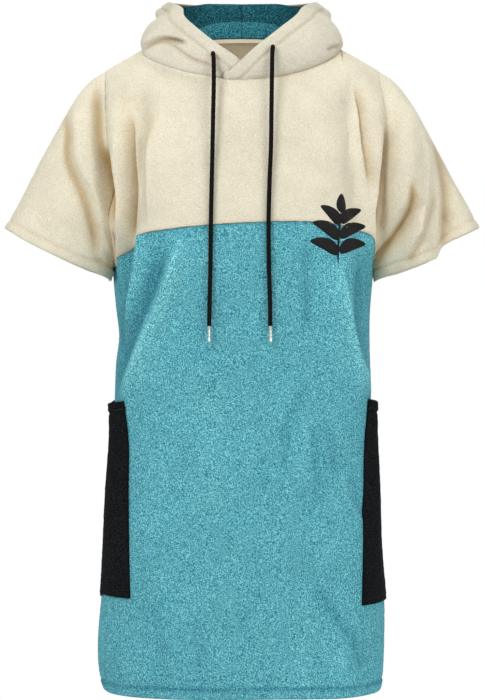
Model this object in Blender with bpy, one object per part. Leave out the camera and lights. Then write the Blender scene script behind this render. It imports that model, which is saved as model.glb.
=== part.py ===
"""Hooded bath poncho of terry towelling, in the form it has when it is worn.

Metres, +Z up, the front faces -Y and the wearer's left side is at +X.  The origin is the middle of
the neck at the height of the shoulder points, where the wearer's shoulders carry the garment.
Each cut piece is its own hollow wall, 0.3 mm from the piece that it is sewn to.
"""
import math
from collections import namedtuple

import bmesh
import bpy
from mathutils import Vector

# ------------------------------------------------------------------ driving sizes
LENGTH = 0.998              # shoulder point to hem
CLOTH = 0.0025              # wall of the terry
HOOD_CLOTH = 0.0012         # outer hood, which is lined
LINING = 0.0010
SEAM = 0.0003               # gap between pieces that are sewn together
COLOUR_SEAM_GAP = 0.0005    # the same, measured up and down across the colour seam

NECK_HALF_WIDTH = 0.1565
NECK_FRONT = 0.097          # how far the neckline lies in front of the shoulder line
NECK_BACK = 0.0725
NECK_FRONT_DROP = 0.061
NECK_BACK_RISE = 0.029
NECK_CURVE = 1.4            # how quickly the neckline dips towards its middle

TIP_HALF_WIDTH = 0.214      # shoulder tip, the top of the armhole
TIP_DROP = 0.033
UNDERARM = -0.340
FAN_TURN = 58               # degrees from the centre line where a yoke's columns start to close in
FAN_LEVEL = 0.10            # share of a yoke's height over which they do, beside the armhole
FAN_SPREAD = 0.30           # and how much that grows towards the centre line
CHEST_CORNER = 2.8          # 2 is an ellipse, more is squarer
SHOULDER_ROUND_FRONT = 0.16
SHOULDER_ROUND_BACK = 0.14

CORD_DIAMETER = 0.007
TIP_DIAMETER = 0.0052
TIP_LENGTH = 0.0235
POCKET_EDGE = 0.0005        # gap under a pocket's sewn edges
POCKET_STAND = 0.0028       # how far a pocket stands off the body at the side seam
POCKET_GAPE = 0.0070        # and how much more half way to its front and back edges
POCKET_FILL = 0.6           # share of a pocket's height below which it lies closer to the body
TAPE_WIDTH = 0.006          # the tape over the back neck seam
TAPE_WALL = 0.0012
TAPE_REACH = 74             # degrees from the centre back to each end of the tape
TAPE_COLUMNS = 18

FRONT, BACK = -1, 1
LEFT, RIGHT = 1, -1         # the wearer's sides
YOKE_ROWS = 14
SLEEVE_RINGS = 12
HOOD_ROWS = 14
NECK_COLUMNS = {FRONT: 9, BACK: 8}      # grid columns from the centre line that end on the neckline
LEVEL_ROWS = -0.620         # below this height the rows of the lower panels are level
YOKE_GATHER = 0.5           # share of a yoke's height where its columns start to run to the upper seams
YOKE_MEND = 0.55            # and where its points start to be drawn on to them

# ------------------------------------------------------------------ tables
Body = namedtuple("Body", "height right left front back")
BODY = [
    Body(-0.998, 0.2165, 0.2170, 0.1185, 0.1120),
    Body(-0.970, 0.2255, 0.2215, 0.1198, 0.1128),
    Body(-0.900, 0.2250, 0.2235, 0.1210, 0.1130),
    Body(-0.856, 0.2190, 0.2235, 0.1215, 0.1125),
    Body(-0.760, 0.2110, 0.2125, 0.1220, 0.1100),
    Body(-0.680, 0.2065, 0.2075, 0.1220, 0.1080),
    Body(-0.600, 0.2005, 0.2035, 0.1225, 0.1060),
    Body(-0.545, 0.2000, 0.2020, 0.1240, 0.1045),
    Body(-0.505, 0.1985, 0.2025, 0.1260, 0.1040),
    Body(-0.468, 0.1950, 0.2010, 0.1280, 0.1050),
    Body(-0.445, 0.1900, 0.2000, 0.1290, 0.1060),
    Body(-0.425, 0.1945, 0.1995, 0.1300, 0.1070),
    Body(-0.390, 0.1985, 0.2015, 0.1315, 0.1090),
    Body(UNDERARM, 0.2030, 0.2050, 0.1330, 0.1120),
    Body(-0.300, 0.2085, 0.2095, 0.1340, 0.1150),
    Body(-0.250, 0.2135, 0.2140, 0.1330, 0.1180),
    Body(-0.190, 0.2160, 0.2160, 0.1270, 0.1195),
    Body(-0.120, 0.2190, 0.2190, 0.1140, 0.1200),
    Body(-0.060, 0.2220, 0.2220, 0.1021, 0.1180),
    Body(0.0, 0.2260, 0.2260, 0.0930, 0.1165),
    Body(0.060, 0.2300, 0.2300, 0.0850, 0.1150),
]

Armhole = namedtuple("Armhole", "height right left")
ARMHOLE = [
    Armhole(UNDERARM, 0.2030, 0.2050),
    Armhole(-0.300, 0.2040, 0.2055),
    Armhole(-0.250, 0.2050, 0.2060),
    Armhole(-0.190, 0.2065, 0.2070),
    Armhole(-0.120, 0.2090, 0.2100),
    Armhole(-TIP_DROP, TIP_HALF_WIDTH, TIP_HALF_WIDTH),
]

# degrees round the body from the centre line to the side seam, closest where the folds are
TURNS = {
    FRONT: [0, 12, 22, 30, 36, 41, 45, 49, 52, 56, 61, 68, 77, 90],
    BACK: [0, 13, 24, 33, 41, 47, 52, 56, 61, 68, 77, 90],
}
# grid columns from the side seam to a pocket's front edge and to its back edge
Reach = namedtuple("Reach", "front back")
POCKET_REACH = {RIGHT: Reach(6, 6), LEFT: Reach(4, 4)}

# the rows of the two lower panels, as heights at the side seam
BODY_HEIGHTS = [-LENGTH, -0.980, -0.945, -0.902, -0.856, -0.806, -0.756, -0.706, -0.656, -0.606,
                -0.553, -0.515, -0.480, -0.450, -0.420, -0.385, UNDERARM]
POCKET_ROWS = (4, 10)

# the colour seam across the front and back, by degrees round the body
ColourSeam = namedtuple("ColourSeam", "turn front back")
COLOUR_SEAM = [
    ColourSeam(-90, UNDERARM, UNDERARM),
    ColourSeam(-81, -0.346, -0.346),
    ColourSeam(-74, -0.340, -0.337),
    ColourSeam(-66, -0.332, -0.320),
    ColourSeam(-50, -0.316, -0.308),
    ColourSeam(-43, -0.301, -0.303),
    ColourSeam(-29, -0.290, -0.298),
    ColourSeam(0, -0.281, -0.293),
    ColourSeam(29, -0.279, -0.297),
    ColourSeam(46, -0.286, -0.303),
    ColourSeam(59, -0.294, -0.312),
    ColourSeam(65, -0.304, -0.317),
    ColourSeam(69, -0.318, -0.324),
    ColourSeam(74, -0.332, -0.333),
    ColourSeam(81, -0.338, -0.338),
    ColourSeam(90, UNDERARM, UNDERARM),
]

# folds run from x0, z0 to x1, z1 as seen from the front, bowed sideways; a rise below zero is a trough,
# and each has its own width towards the centre line and away from it
Fold = namedtuple("Fold", "x0 z0 x1 z1 bow inner outer rise")
FRONT_FOLDS = [
    Fold(-0.138, -0.050, -0.154, -0.350, 0.004, 0.030, 0.009, 0.014),
    Fold(-0.158, -0.055, -0.169, -0.365, 0.006, 0.011, 0.014, -0.020),
    Fold(-0.190, -0.060, -0.184, -0.350, 0.002, 0.010, 0.012, 0.013),
    Fold(-0.154, -0.275, -0.188, -0.480, 0.002, 0.024, 0.010, 0.013),
    Fold(-0.178, -0.280, -0.206, -0.450, 0.002, 0.010, 0.012, -0.017),
    Fold(-0.075, -0.270, -0.198, -0.600, -0.012, 0.018, 0.013, 0.016),
    Fold(-0.102, -0.320, -0.200, -0.550, -0.010, 0.013, 0.013, -0.013),
    Fold(0.170, -0.040, 0.192, -0.330, -0.006, 0.016, 0.010, -0.018),
    Fold(0.200, -0.040, 0.204, -0.340, 0.006, 0.013, 0.010, 0.014),
    Fold(0.155, -0.300, 0.198, -0.590, -0.008, 0.020, 0.012, 0.013),
    Fold(0.186, -0.300, 0.205, -0.540, 0.004, 0.012, 0.012, -0.012),
    Fold(-0.040, -0.620, -0.060, -1.060, 0.006, 0.050, 0.060, 0.006),
    Fold(0.050, -0.560, 0.075, -1.060, -0.006, 0.050, 0.060, -0.006),
    Fold(0.135, -0.700, 0.150, -1.060, 0.004, 0.040, 0.040, 0.006),
]
BACK_FOLDS = [
    Fold(-0.132, -0.060, -0.150, -0.440, 0.004, 0.030, 0.012, 0.013),
    Fold(-0.162, -0.060, -0.172, -0.450, 0.004, 0.013, 0.014, -0.019),
    Fold(0.138, -0.060, 0.152, -0.420, -0.004, 0.030, 0.014, 0.012),
    Fold(0.165, -0.060, 0.176, -0.430, -0.004, 0.013, 0.014, -0.018),
    Fold(-0.055, -0.310, -0.187, -0.640, -0.012, 0.024, 0.018, 0.013),
    Fold(0.075, -0.330, 0.187, -0.620, 0.010, 0.026, 0.018, 0.012),
    Fold(0.010, -0.450, 0.020, -1.060, 0.006, 0.055, 0.060, -0.008),
    Fold(-0.105, -0.620, -0.120, -1.060, -0.004, 0.045, 0.045, 0.007),
    Fold(0.110, -0.640, 0.120, -1.060, 0.004, 0.045, 0.045, 0.007),
]
FOLD_ENDS = 0.22            # share of a fold's length over which each of its ends dies out
SIDE_FADE = 14              # how close to a side seam a fold runs before it dies out

# the top line of a sleeve, from the shoulder tip to the cuff, by the share of the sleeve's length;
# sag is the share of the cuff's sag that the cloth has there
Overarm = namedtuple("Overarm", "along across height depth sag")
OVERARM = [
    Overarm(0.00, TIP_HALF_WIDTH, -TIP_DROP, 0.060, 0.0),
    Overarm(0.12, 0.2370, -0.0470, 0.064, 0.0),
    Overarm(0.25, 0.2590, -0.0740, 0.067, 0.1),
    Overarm(0.45, 0.2880, -0.1240, 0.069, 0.3),
    Overarm(0.65, 0.3180, -0.1790, 0.069, 0.5),
    Overarm(0.85, 0.3500, -0.2420, 0.067, 0.8),
    Overarm(1.00, 0.3720, -0.2800, 0.065, 1.0),
]
CUFF_UNDER = {RIGHT: (0.2105, -0.3720), LEFT: (0.2125, -0.3700)}
CUFF_SAG = {LEFT: 0.0050, RIGHT: 0.0015}    # how far the cuff's edge hangs below a straight line
SLEEVE_JOIN = 0.4           # share of the sleeve over which it leaves the armhole's form
SLEEVE_ROUND = 0.85         # 1 makes a sleeve's section an ellipse, less makes it fuller
SLEEVE_TOP = 0.15           # how much deeper the section is over the arm than at its middle
SLEEVE_FOLD_START = 0.12    # share of the sleeve over which its folds rise from the armhole
SLEEVE_FOLD_SIDE = 0.7      # how soon they rise beside the top line and the underarm seam

SLEEVE_FOLDS = {
    (RIGHT, FRONT): [
        Fold(-0.212, -0.085, -0.207, -0.330, 0.006, 0.010, 0.012, -0.020),
        Fold(-0.226, -0.100, -0.214, -0.400, 0.012, 0.010, 0.012, 0.012),
        Fold(-0.238, -0.085, -0.218, -0.260, 0.010, 0.010, 0.010, -0.010),
        Fold(-0.258, -0.095, -0.236, -0.380, 0.020, 0.016, 0.016, 0.010),
        Fold(-0.272, -0.090, -0.232, -0.390, 0.018, 0.013, 0.015, -0.011),
    ],
    (RIGHT, BACK): [
        Fold(-0.222, -0.090, -0.212, -0.330, 0.004, 0.010, 0.012, -0.016),
        Fold(-0.250, -0.080, -0.235, -0.400, 0.012, 0.016, 0.016, 0.010),
        Fold(-0.280, -0.110, -0.262, -0.390, 0.010, 0.014, 0.016, -0.009),
    ],
    (LEFT, FRONT): [
        Fold(0.220, -0.085, 0.212, -0.330, -0.006, 0.010, 0.014, -0.018),
        Fold(0.268, -0.080, 0.304, -0.400, -0.018, 0.045, 0.012, 0.020),
        Fold(0.300, -0.150, 0.328, -0.360, -0.008, 0.012, 0.030, -0.026),
        Fold(0.285, -0.240, 0.205, -0.350, -0.006, 0.014, 0.010, -0.014),
        Fold(0.288, -0.270, 0.215, -0.372, -0.006, 0.010, 0.014, 0.010),
    ],
    (LEFT, BACK): [
        Fold(0.222, -0.090, 0.214, -0.330, -0.004, 0.010, 0.012, -0.016),
        Fold(0.246, -0.090, 0.240, -0.400, -0.010, 0.016, 0.016, 0.009),
        Fold(0.276, -0.110, 0.272, -0.390, -0.010, 0.014, 0.016, -0.010),
    ],
}

# the hood's free edge, by degrees round the neck from the centre front, on the wearer's left;
# the right half mirrors it
Rim = namedtuple("Rim", "turn across behind height bulge right_drop")
RIM = [
    Rim(-10, -0.0275, -0.0985, -0.0540, 0.000, 0.000),
    Rim(0, -0.0045, -0.0985, -0.0350, 0.002, 0.003),
    Rim(15, 0.0120, -0.0930, -0.0170, 0.007, 0.006),
    Rim(30, 0.0330, -0.0840, 0.0010, 0.010, 0.009),
    Rim(50, 0.0640, -0.0620, 0.0290, 0.013, 0.009),
    Rim(70, 0.0930, -0.0300, 0.0550, 0.014, 0.005),
    Rim(90, 0.1120, 0.0080, 0.0750, 0.014, 0.000),
    Rim(110, 0.1180, 0.0600, 0.0870, 0.012, 0.000),
    Rim(130, 0.1040, 0.1080, 0.0935, 0.006, 0.000),
    Rim(150, 0.0680, 0.1460, 0.0980, 0.002, 0.000),
    Rim(180, 0.0, 0.1660, 0.1005, 0.000, 0.000),
]
HOOD_TURNS = [0, 10, 20, 30, 40, 50, 60, 70, 80, 90, 98, 104, 110, 116, 122, 129, 137, 146, 157, 168, 180]
LAP = 10                    # degrees that each hood front runs past the centre line
LAP_FADE = 45               # degrees from the centre line where the under front has come forward
LAP_DEPTH = 0.0078          # how far the under front lies behind the upper one

# the middle of the hood from the neck seam, over the roll, down into the bag and up to the free edge
Bag = namedtuple("Bag", "behind height")
BAG = [
    Bag(NECK_BACK, NECK_BACK_RISE),
    Bag(0.0835, 0.0560),
    Bag(0.1030, 0.0480),
    Bag(0.1190, -0.0100),
    Bag(0.1270, -0.0850),
    Bag(0.1400, -0.1330),
    Bag(0.1680, -0.1400),
    Bag(0.1890, -0.0850),
    Bag(0.1905, 0.0150),
    Bag(0.1660, 0.1000),
]
BAG_WIDENS = (90, 164)      # degrees round the neck over which the bag stands off the neck
BAG_DEEPENS = (124, 172)    # and over which it hangs down
BAG_LEAN = 2.2              # how soon the side of the hood leans out with the bag
HOOD_CENTRE = -0.012        # where the hood's level directions meet, in front of or behind the origin
RIM_PULL = 4                # how close to its free edge the hood turns towards it
BULGE_HEIGHT = 0.75         # less moves the hood's bulge down towards the neck seam
LINING_GAP = 0.0004         # between the hood and its lining
LINING_INSET = 0.003        # how far the lining ends inside the hood's free edge
INSET_MOST = 0.6            # and the largest share of the grid's last row that this may take
LINING_LAP = 3              # and how many degrees short of the lap's end

# the free cords, from the eyelets in the hood's casing to the metal tips
CORD_ROUTE = {
    RIGHT: [(-0.0440, -0.0897, -0.0215), (-0.0438, -0.0975, -0.0215), (-0.0428, -0.1060, -0.0345),
            (-0.0424, -0.1165, -0.0700), (-0.0432, -0.1255, -0.1130), (-0.0440, -0.1325, -0.1630),
            (-0.0452, -0.1370, -0.2200), (-0.0464, -0.1390, -0.2800), (-0.0470, -0.1385, -0.3400),
            (-0.0482, -0.1375, -0.3950), (-0.0490, -0.1370, -0.4350)],
    LEFT: [(0.0470, -0.0896, -0.0115), (0.0467, -0.0972, -0.0115), (0.0458, -0.1052, -0.0250),
           (0.0450, -0.1160, -0.0680), (0.0442, -0.1255, -0.1180), (0.0434, -0.1330, -0.1680),
           (0.0412, -0.1370, -0.2200), (0.0398, -0.1390, -0.2800), (0.0402, -0.1385, -0.3400),
           (0.0418, -0.1375, -0.3950), (0.0424, -0.1370, -0.4350)],
}
CORD_POINTS = 28

# ------------------------------------------------------------------ materials
Finish = namedtuple("Finish", "red green blue roughness metallic")
FINISHES = {
    "cream_terry": Finish(0.80, 0.72, 0.54, 0.95, 0.0),
    "teal_terry": Finish(0.11, 0.39, 0.46, 0.95, 0.0),
    "black_terry": Finish(0.012, 0.014, 0.016, 0.95, 0.0),
    "black_cord": Finish(0.010, 0.010, 0.010, 0.80, 0.0),
    "silver_metal": Finish(0.78, 0.76, 0.72, 0.30, 1.0),
}


def make_materials():
    """One Principled material for each cloth, cord and metal."""
    for name, finish in FINISHES.items():
        material = bpy.data.materials.new(name)
        material.use_nodes = True
        shader = material.node_tree.nodes["Principled BSDF"]
        shader.inputs["Base Color"].default_value = (finish.red, finish.green, finish.blue, 1.0)
        shader.inputs["Roughness"].default_value = finish.roughness
        shader.inputs["Metallic"].default_value = finish.metallic


# ------------------------------------------------------------------ curves between table rows
Stop = namedtuple("Stop", "order x y z")


def along(rows, place):
    """The table's columns at a place, on a smooth curve through its rows, whose first column rises."""
    place = min(max(place, rows[0][0]), rows[-1][0])
    last = len(rows) - 1
    low = 0
    while low < last - 1 and rows[low + 1][0] <= place:
        low += 1
    near, far = rows[low], rows[low + 1]
    before, after = rows[max(low - 1, 0)], rows[min(low + 2, last)]
    span = far[0] - near[0]
    t = (place - near[0]) / span
    values = [place]
    for column in range(1, len(near)):
        leave = (far[column] - before[column]) / (far[0] - before[0]) * span
        arrive = (after[column] - near[column]) / (after[0] - near[0]) * span
        values.append((2 * t ** 3 - 3 * t ** 2 + 1) * near[column] + (t ** 3 - 2 * t ** 2 + t) * leave
                      + (3 * t ** 2 - 2 * t ** 3) * far[column] + (t ** 3 - t ** 2) * arrive)
    return type(near)(*values)


def smooth_path(points, count):
    """Evenly numbered points on a smooth curve through the given ones."""
    stops = [Stop(order, *point) for order, point in enumerate(points)]
    last = len(points) - 1
    path = []
    for number in range(count):
        stop = along(stops, last * number / (count - 1))
        path.append(Vector((stop.x, stop.y, stop.z)))
    return path


def ease(value):
    """0 below 0, 1 above 1 and a soft step between them."""
    value = min(max(value, 0.0), 1.0)
    return value * value * (3 - 2 * value)


def fold_rise(folds, x, z):
    """The height that the folds add to the cloth at x, z as seen from the front."""
    total = 0.0
    for fold in folds:
        run = Vector((fold.x1 - fold.x0, fold.z1 - fold.z0))
        place = Vector((x - fold.x0, z - fold.z0))
        share = place.dot(run) / run.length_squared
        if not 0.0 < share < 1.0:
            continue
        across = Vector((-run.y, run.x)).normalized()
        line_x = fold.x0 + run.x * share
        offset = place.dot(across) - fold.bow * 4 * share * (1 - share)
        away = offset * across.x * (1 if line_x > 0 else -1)
        width = fold.outer if away > 0 else fold.inner
        ends = ease(share / FOLD_ENDS) * ease((1 - share) / FOLD_ENDS)
        total += fold.rise * ends * math.exp(-(offset / width) ** 2)
    return total


# ------------------------------------------------------------------ the body's form
def shoulder_height(x, face):
    """Height of the shoulder line; inside the neckline, of a surface that passes through the neck seam."""
    across = abs(x)
    if across >= NECK_HALF_WIDTH:
        return -TIP_DROP * (across - NECK_HALF_WIDTH) / (TIP_HALF_WIDTH - NECK_HALF_WIDTH)
    turn = math.degrees(math.asin(across / NECK_HALF_WIDTH))
    neck = neck_point(turn if face == FRONT else 180 - turn)
    row = along(BODY, neck.z)
    fullness = (1 - (across / row.left) ** CHEST_CORNER) ** (1 / CHEST_CORNER)
    closing = min(abs(neck.y) / (fullness * (row.front if face == FRONT else row.back)), 1.0)
    round_over = SHOULDER_ROUND_FRONT if face == FRONT else SHOULDER_ROUND_BACK
    return neck.z + round_over * (1 - math.sqrt(1 - closing ** 2))


def body_point(x_share, height, face, lift=0.0):
    """A point on the outside of the body: x_share is -1 and 1 at the sides, lift moves it outwards."""
    row = along(BODY, height)
    half_width = row.left if x_share > 0 else row.right
    depth = row.front if face == FRONT else row.back
    x = half_width * x_share
    share = min(abs(x_share), 1.0)
    fullness = (1 - share ** CHEST_CORNER) ** (1 / CHEST_CORNER)
    round_over = SHOULDER_ROUND_FRONT if face == FRONT else SHOULDER_ROUND_BACK
    below = min(max((shoulder_height(x, face) - height) / round_over, 0.0), 1.0)
    closing = math.sqrt(1 - (1 - below) ** 2)
    out_x = share ** (CHEST_CORNER - 1) / half_width * (1 if x_share > 0 else -1)
    out_y = face * fullness ** (CHEST_CORNER - 1) / depth
    outwards = Vector((out_x, out_y, 0)).normalized()
    folds = FRONT_FOLDS if face == FRONT else BACK_FOLDS
    rise = fold_rise(folds, x, height) * (1 - share ** SIDE_FADE) + lift
    return Vector((x, face * depth * fullness * closing, height)) + outwards * rise


def body_share(turn):
    """The x_share at so many degrees from the centre line."""
    angle = math.radians(turn)
    sine, cosine = abs(math.sin(angle)), abs(math.cos(angle))
    reach = (sine ** CHEST_CORNER + cosine ** CHEST_CORNER) ** (-1 / CHEST_CORNER)
    return math.copysign(min(sine * reach, 1.0), turn)


def half_columns(face):
    """How many grid columns a front or a back panel has from its centre line to its side."""
    return len(TURNS[face]) - 1


def column_turn(column, face):
    """Degrees from the centre line at a grid column, which is negative on the wearer's right."""
    return math.copysign(TURNS[face][abs(column)], column)


def half_width_at(height, side):
    """The body's half width at a height."""
    row = along(BODY, height)
    return row.left if side == LEFT else row.right


def turn_of_share(share):
    """The degrees from the centre line at an x_share: the inverse of body_share."""
    rest = (1 - share ** CHEST_CORNER) ** (1 / CHEST_CORNER)
    return math.degrees(math.atan2(share, rest))


def seam_height(turn, face):
    """Height of the colour seam."""
    row = along(COLOUR_SEAM, turn)
    return row.front if face == FRONT else row.back


def lower_height(turn, row, face):
    """Height of a row of the lower panels: level at the hem, along the colour seam at the top."""
    level = BODY_HEIGHTS[row]
    dip = seam_height(turn, face) - UNDERARM
    return level + dip * ease((level - LEVEL_ROWS) / (UNDERARM - LEVEL_ROWS))


def lower_point(column, row, face, lift=0.0):
    """A point on the outside of the lower body, by its grid column and row."""
    turn = column_turn(column, face)
    height = lower_height(turn, row, face)
    if row == len(BODY_HEIGHTS) - 1:
        height -= COLOUR_SEAM_GAP / 2
    point = body_point(body_share(turn), height, face, lift)
    if abs(column) == half_columns(face):
        point.y += face * SEAM / 2
    return point


def seam_normal(column, face):
    """The level direction out of the cloth at the colour seam, which both of its panels share."""
    if abs(column) == half_columns(face):
        return Vector((math.copysign(1, column), 0, 0))
    turn = column_turn(column, face)
    near, far = (body_point(body_share(place), seam_height(place, face), face)
                 for place in (turn - 1, turn + 1))
    return Vector((far.y - near.y, near.x - far.x, 0)) * -face


# ------------------------------------------------------------------ neckline, shoulder and armhole
def neck_point(turn):
    """A point on the neck seam, by degrees round from the centre front towards the left."""
    angle = math.radians(turn)
    cosine = math.cos(angle)
    curve = abs(cosine) ** NECK_CURVE
    if cosine > 0:
        return Vector((NECK_HALF_WIDTH * math.sin(angle), -NECK_FRONT * cosine, -NECK_FRONT_DROP * curve))
    return Vector((NECK_HALF_WIDTH * math.sin(angle), -NECK_BACK * cosine, NECK_BACK_RISE * curve))


def top_point(column, face):
    """A point on the upper edge of a yoke: the neckline, then the shoulder seam."""
    side = 1 if column > 0 else -1
    step = abs(column)
    on_neck = NECK_COLUMNS[face]
    if step < on_neck:
        turn = 90 * step / on_neck
        return neck_point(side * (turn if face == FRONT else 180 - turn))
    share = (step - on_neck) / (half_columns(face) - on_neck)
    across = NECK_HALF_WIDTH + share * (TIP_HALF_WIDTH - NECK_HALF_WIDTH)
    return Vector((side * across, face * SEAM / 2, -TIP_DROP * share))


def armhole_across(height, side):
    """How far out the armhole lies at a height."""
    row = along(ARMHOLE, height)
    return row.left if side == LEFT else row.right


def edge_share(row, rows):
    """Share of the armhole's height at a row, closer together at its top and bottom."""
    return (1 - math.cos(math.pi * row / rows)) / 2


def armhole_point(row, side, face):
    """A point on the armhole, by the yoke's grid row."""
    height = UNDERARM + (-TIP_DROP - UNDERARM) * edge_share(row, YOKE_ROWS)
    share = armhole_across(height, side) / half_width_at(height, side)
    point = body_point(side * min(share, 1.0), height, face)
    if row in (0, YOKE_ROWS):
        point.y = face * SEAM / 2
    return point


def yoke_point(column, row, face):
    """A point on the outside of a yoke, between the colour seam and the neck and shoulder seams."""
    side = LEFT if column > 0 else RIGHT
    if abs(column) == half_columns(face):
        point = armhole_point(row, side, face)
        if row == 0:
            point.z += COLOUR_SEAM_GAP / 2
        return point
    turn = column_turn(column, face)
    level = row / YOKE_ROWS
    out = abs(column) / half_columns(face)
    level += (edge_share(row, YOKE_ROWS) - level) * out ** 4
    top = top_point(column, face)
    bottom = seam_height(turn, face)
    height = bottom + (top.z - bottom) * level
    hole = armhole_across(min(height, -TIP_DROP), side) / half_width_at(height, side)
    closing_in = (90 - turn_of_share(min(hole, 1.0))) * ease(level / (FAN_LEVEL + FAN_SPREAD * (1 - out)))
    if abs(turn) > FAN_TURN:
        turn -= side * (abs(turn) - FAN_TURN) * closing_in / (90 - FAN_TURN)
    x = half_width_at(height, side) * body_share(turn)
    x += (top.x - x) * ease((level - YOKE_GATHER) / (1 - YOKE_GATHER))
    point = body_point(max(-1.0, min(1.0, x / half_width_at(height, side))), height, face)
    if row == 0:
        point.z += COLOUR_SEAM_GAP / 2
    mend = ease((level - YOKE_MEND) / (1 - YOKE_MEND))
    if mend > 0:
        at_top = body_point(top.x / half_width_at(top.z, side), top.z, face)
        point += (top - at_top) * mend
    return point


# ------------------------------------------------------------------ sleeves
def sleeve_depth(depth, angle):
    """How far a sleeve's section bulges at an angle, which is 0 at the underarm and pi over the arm."""
    return depth * math.sin(angle) ** SLEEVE_ROUND * (1 - SLEEVE_TOP * math.cos(angle))


def sleeve_point(ring, row, side, face):
    """A point on a sleeve: ring 0 is the armhole, row 0 the underarm seam and the last row the top."""
    share = ring / SLEEVE_RINGS
    over = along(OVERARM, share)
    under_start = (armhole_across(UNDERARM, side), UNDERARM)
    under_end = CUFF_UNDER[side]
    top = Vector((over.across, over.height))
    under = Vector((under_start[0] + (under_end[0] - under_start[0]) * math.sqrt(share),
                    under_start[1] + (under_end[1] - under_start[1]) * share))
    angle = math.pi * row / YOKE_ROWS
    middle = (top + under) / 2
    flat = middle - (top - under) / 2 * math.cos(angle)
    fall = Vector((top.y - under.y, under.x - top.x)).normalized()
    flat += fall * CUFF_SAG[side] * over.sag * math.sin(angle) ** 2
    depth = sleeve_depth(over.depth, angle)
    point = Vector((side * flat.x, face * depth, flat.y))
    joined = 1 - ease(share / SLEEVE_JOIN)
    if joined > 0:
        start_top = Vector((TIP_HALF_WIDTH, -TIP_DROP))
        start = (start_top + Vector(under_start)) / 2
        start -= (start_top - Vector(under_start)) / 2 * math.cos(angle)
        at_start = Vector((side * start.x, face * sleeve_depth(OVERARM[0].depth, angle), start.y))
        hole = armhole_point(row, side, face)
        point += (hole - at_start) * joined
    rise = fold_rise(SLEEVE_FOLDS[side, face], point.x, point.z)
    free = ease(share / SLEEVE_FOLD_START) * math.sin(angle) ** SLEEVE_FOLD_SIDE
    point.y += face * rise * free
    if ring == 0:
        point.x += side * SEAM
    return point


# ------------------------------------------------------------------ hood
def share_between(turn, limits):
    """A soft step from 0 to 1 between two limits."""
    return ease((turn - limits[0]) / (limits[1] - limits[0]))


def hood_base(turn, climb, side):
    """A point on the outside of the hood: climb is 0 at the neck seam and 1 at the free edge."""
    rim = along(RIM, turn)
    neck = neck_point(turn)
    free = Vector((rim.across, rim.behind, rim.height))
    if side == RIGHT:
        free.z -= rim.right_drop
    plan = Vector((neck.x, neck.y - HOOD_CENTRE, 0)).normalized()
    wide, deep = share_between(turn, BAG_WIDENS), share_between(turn, BAG_DEEPENS)
    last = len(BAG) - 1
    run_out = (free - neck).dot(plan)
    full_run = BAG[last].behind - BAG[0].behind
    stops = []
    for order, stage in enumerate(BAG):
        share = order / last
        point = neck.lerp(free, share)
        bag_out = wide * (stage.behind - BAG[0].behind) + share ** RIM_PULL * (run_out - wide * full_run)
        point += plan * (bag_out - run_out * share) * ease(wide * BAG_LEAN)
        straight_z = BAG[0].height + (BAG[last].height - BAG[0].height) * share
        point.z += (stage.height - straight_z) * deep
        point += plan * rim.bulge * math.sin(math.pi * share ** BULGE_HEIGHT)
        stops.append(Stop(order, *point))
    stop = along(stops, climb * last)
    point = Vector((stop.x, stop.y, stop.z))
    if side == RIGHT:
        behind = LAP_DEPTH * (1 - ease((turn + LAP) / (LAP_FADE + LAP)))
        point -= plan * behind
        point.x = -point.x
    return point


def hood_point(turn, climb, side, inwards):
    """A point on the hood, moved in from its outside by so much."""
    step_turn, step_climb = 4, 0.03
    here = hood_base(turn, climb, side)
    round_a = hood_base(max(turn - step_turn, -LAP), climb, side)
    round_b = hood_base(min(turn + step_turn, 180), climb, side)
    up_a = hood_base(turn, max(climb - step_climb, 0), side)
    up_b = hood_base(turn, min(climb + step_climb, 1), side)
    normal = (round_b - round_a).cross(up_b - up_a).normalized() * side
    if turn == HOOD_TURNS[-1]:
        normal = Vector((0, normal.y, normal.z)).normalized()
    return here - normal * inwards


# ------------------------------------------------------------------ building the pieces
def finish_piece(name, mesh, material):
    """Links a mesh as a named, smooth-shaded piece of the poncho."""
    mesh.materials.append(bpy.data.materials[material])
    mesh.shade_smooth()
    piece = bpy.data.objects.new(name, mesh)
    PONCHO.objects.link(piece)
    return piece


def layered_piece(name, columns, rows, place, wall, material, tube=False):
    """A wall of cloth between two sheets, put in place by column, row and depth in the cloth.

    The faces are made here, because where pieces are sewn together their walls have to stand square
    against each other, and an even offset of an open sheet doesn't do that.
    """
    work = bmesh.new()
    sheets = []
    for depth in (0.0, wall):
        sheet = [[work.verts.new(place(column, row, depth)) for row in range(rows + 1)]
                 for column in range(columns if tube else columns + 1)]
        sheets.append(sheet + sheet[:1] if tube else sheet)
    for column in range(columns):
        for row in range(rows):
            for sheet in sheets:
                far = sheet[column + 1][row + 1]
                work.faces.new((sheet[column][row], sheet[column + 1][row], far))
                work.faces.new((sheet[column][row], far, sheet[column][row + 1]))
        for row in (0, rows):
            work.faces.new([sheet[step][row] for sheet, step in
                            zip(sheets + sheets[::-1], (column, column, column + 1, column + 1))])
    for column in () if tube else (0, columns):
        for row in range(rows):
            work.faces.new([sheet[column][step] for sheet, step in
                            zip(sheets + sheets[::-1], (row, row, row + 1, row + 1))])
    bmesh.ops.recalc_face_normals(work, faces=work.faces)
    mesh = bpy.data.meshes.new(name)
    work.to_mesh(mesh)
    work.free()
    return finish_piece(name, mesh, material)


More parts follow.
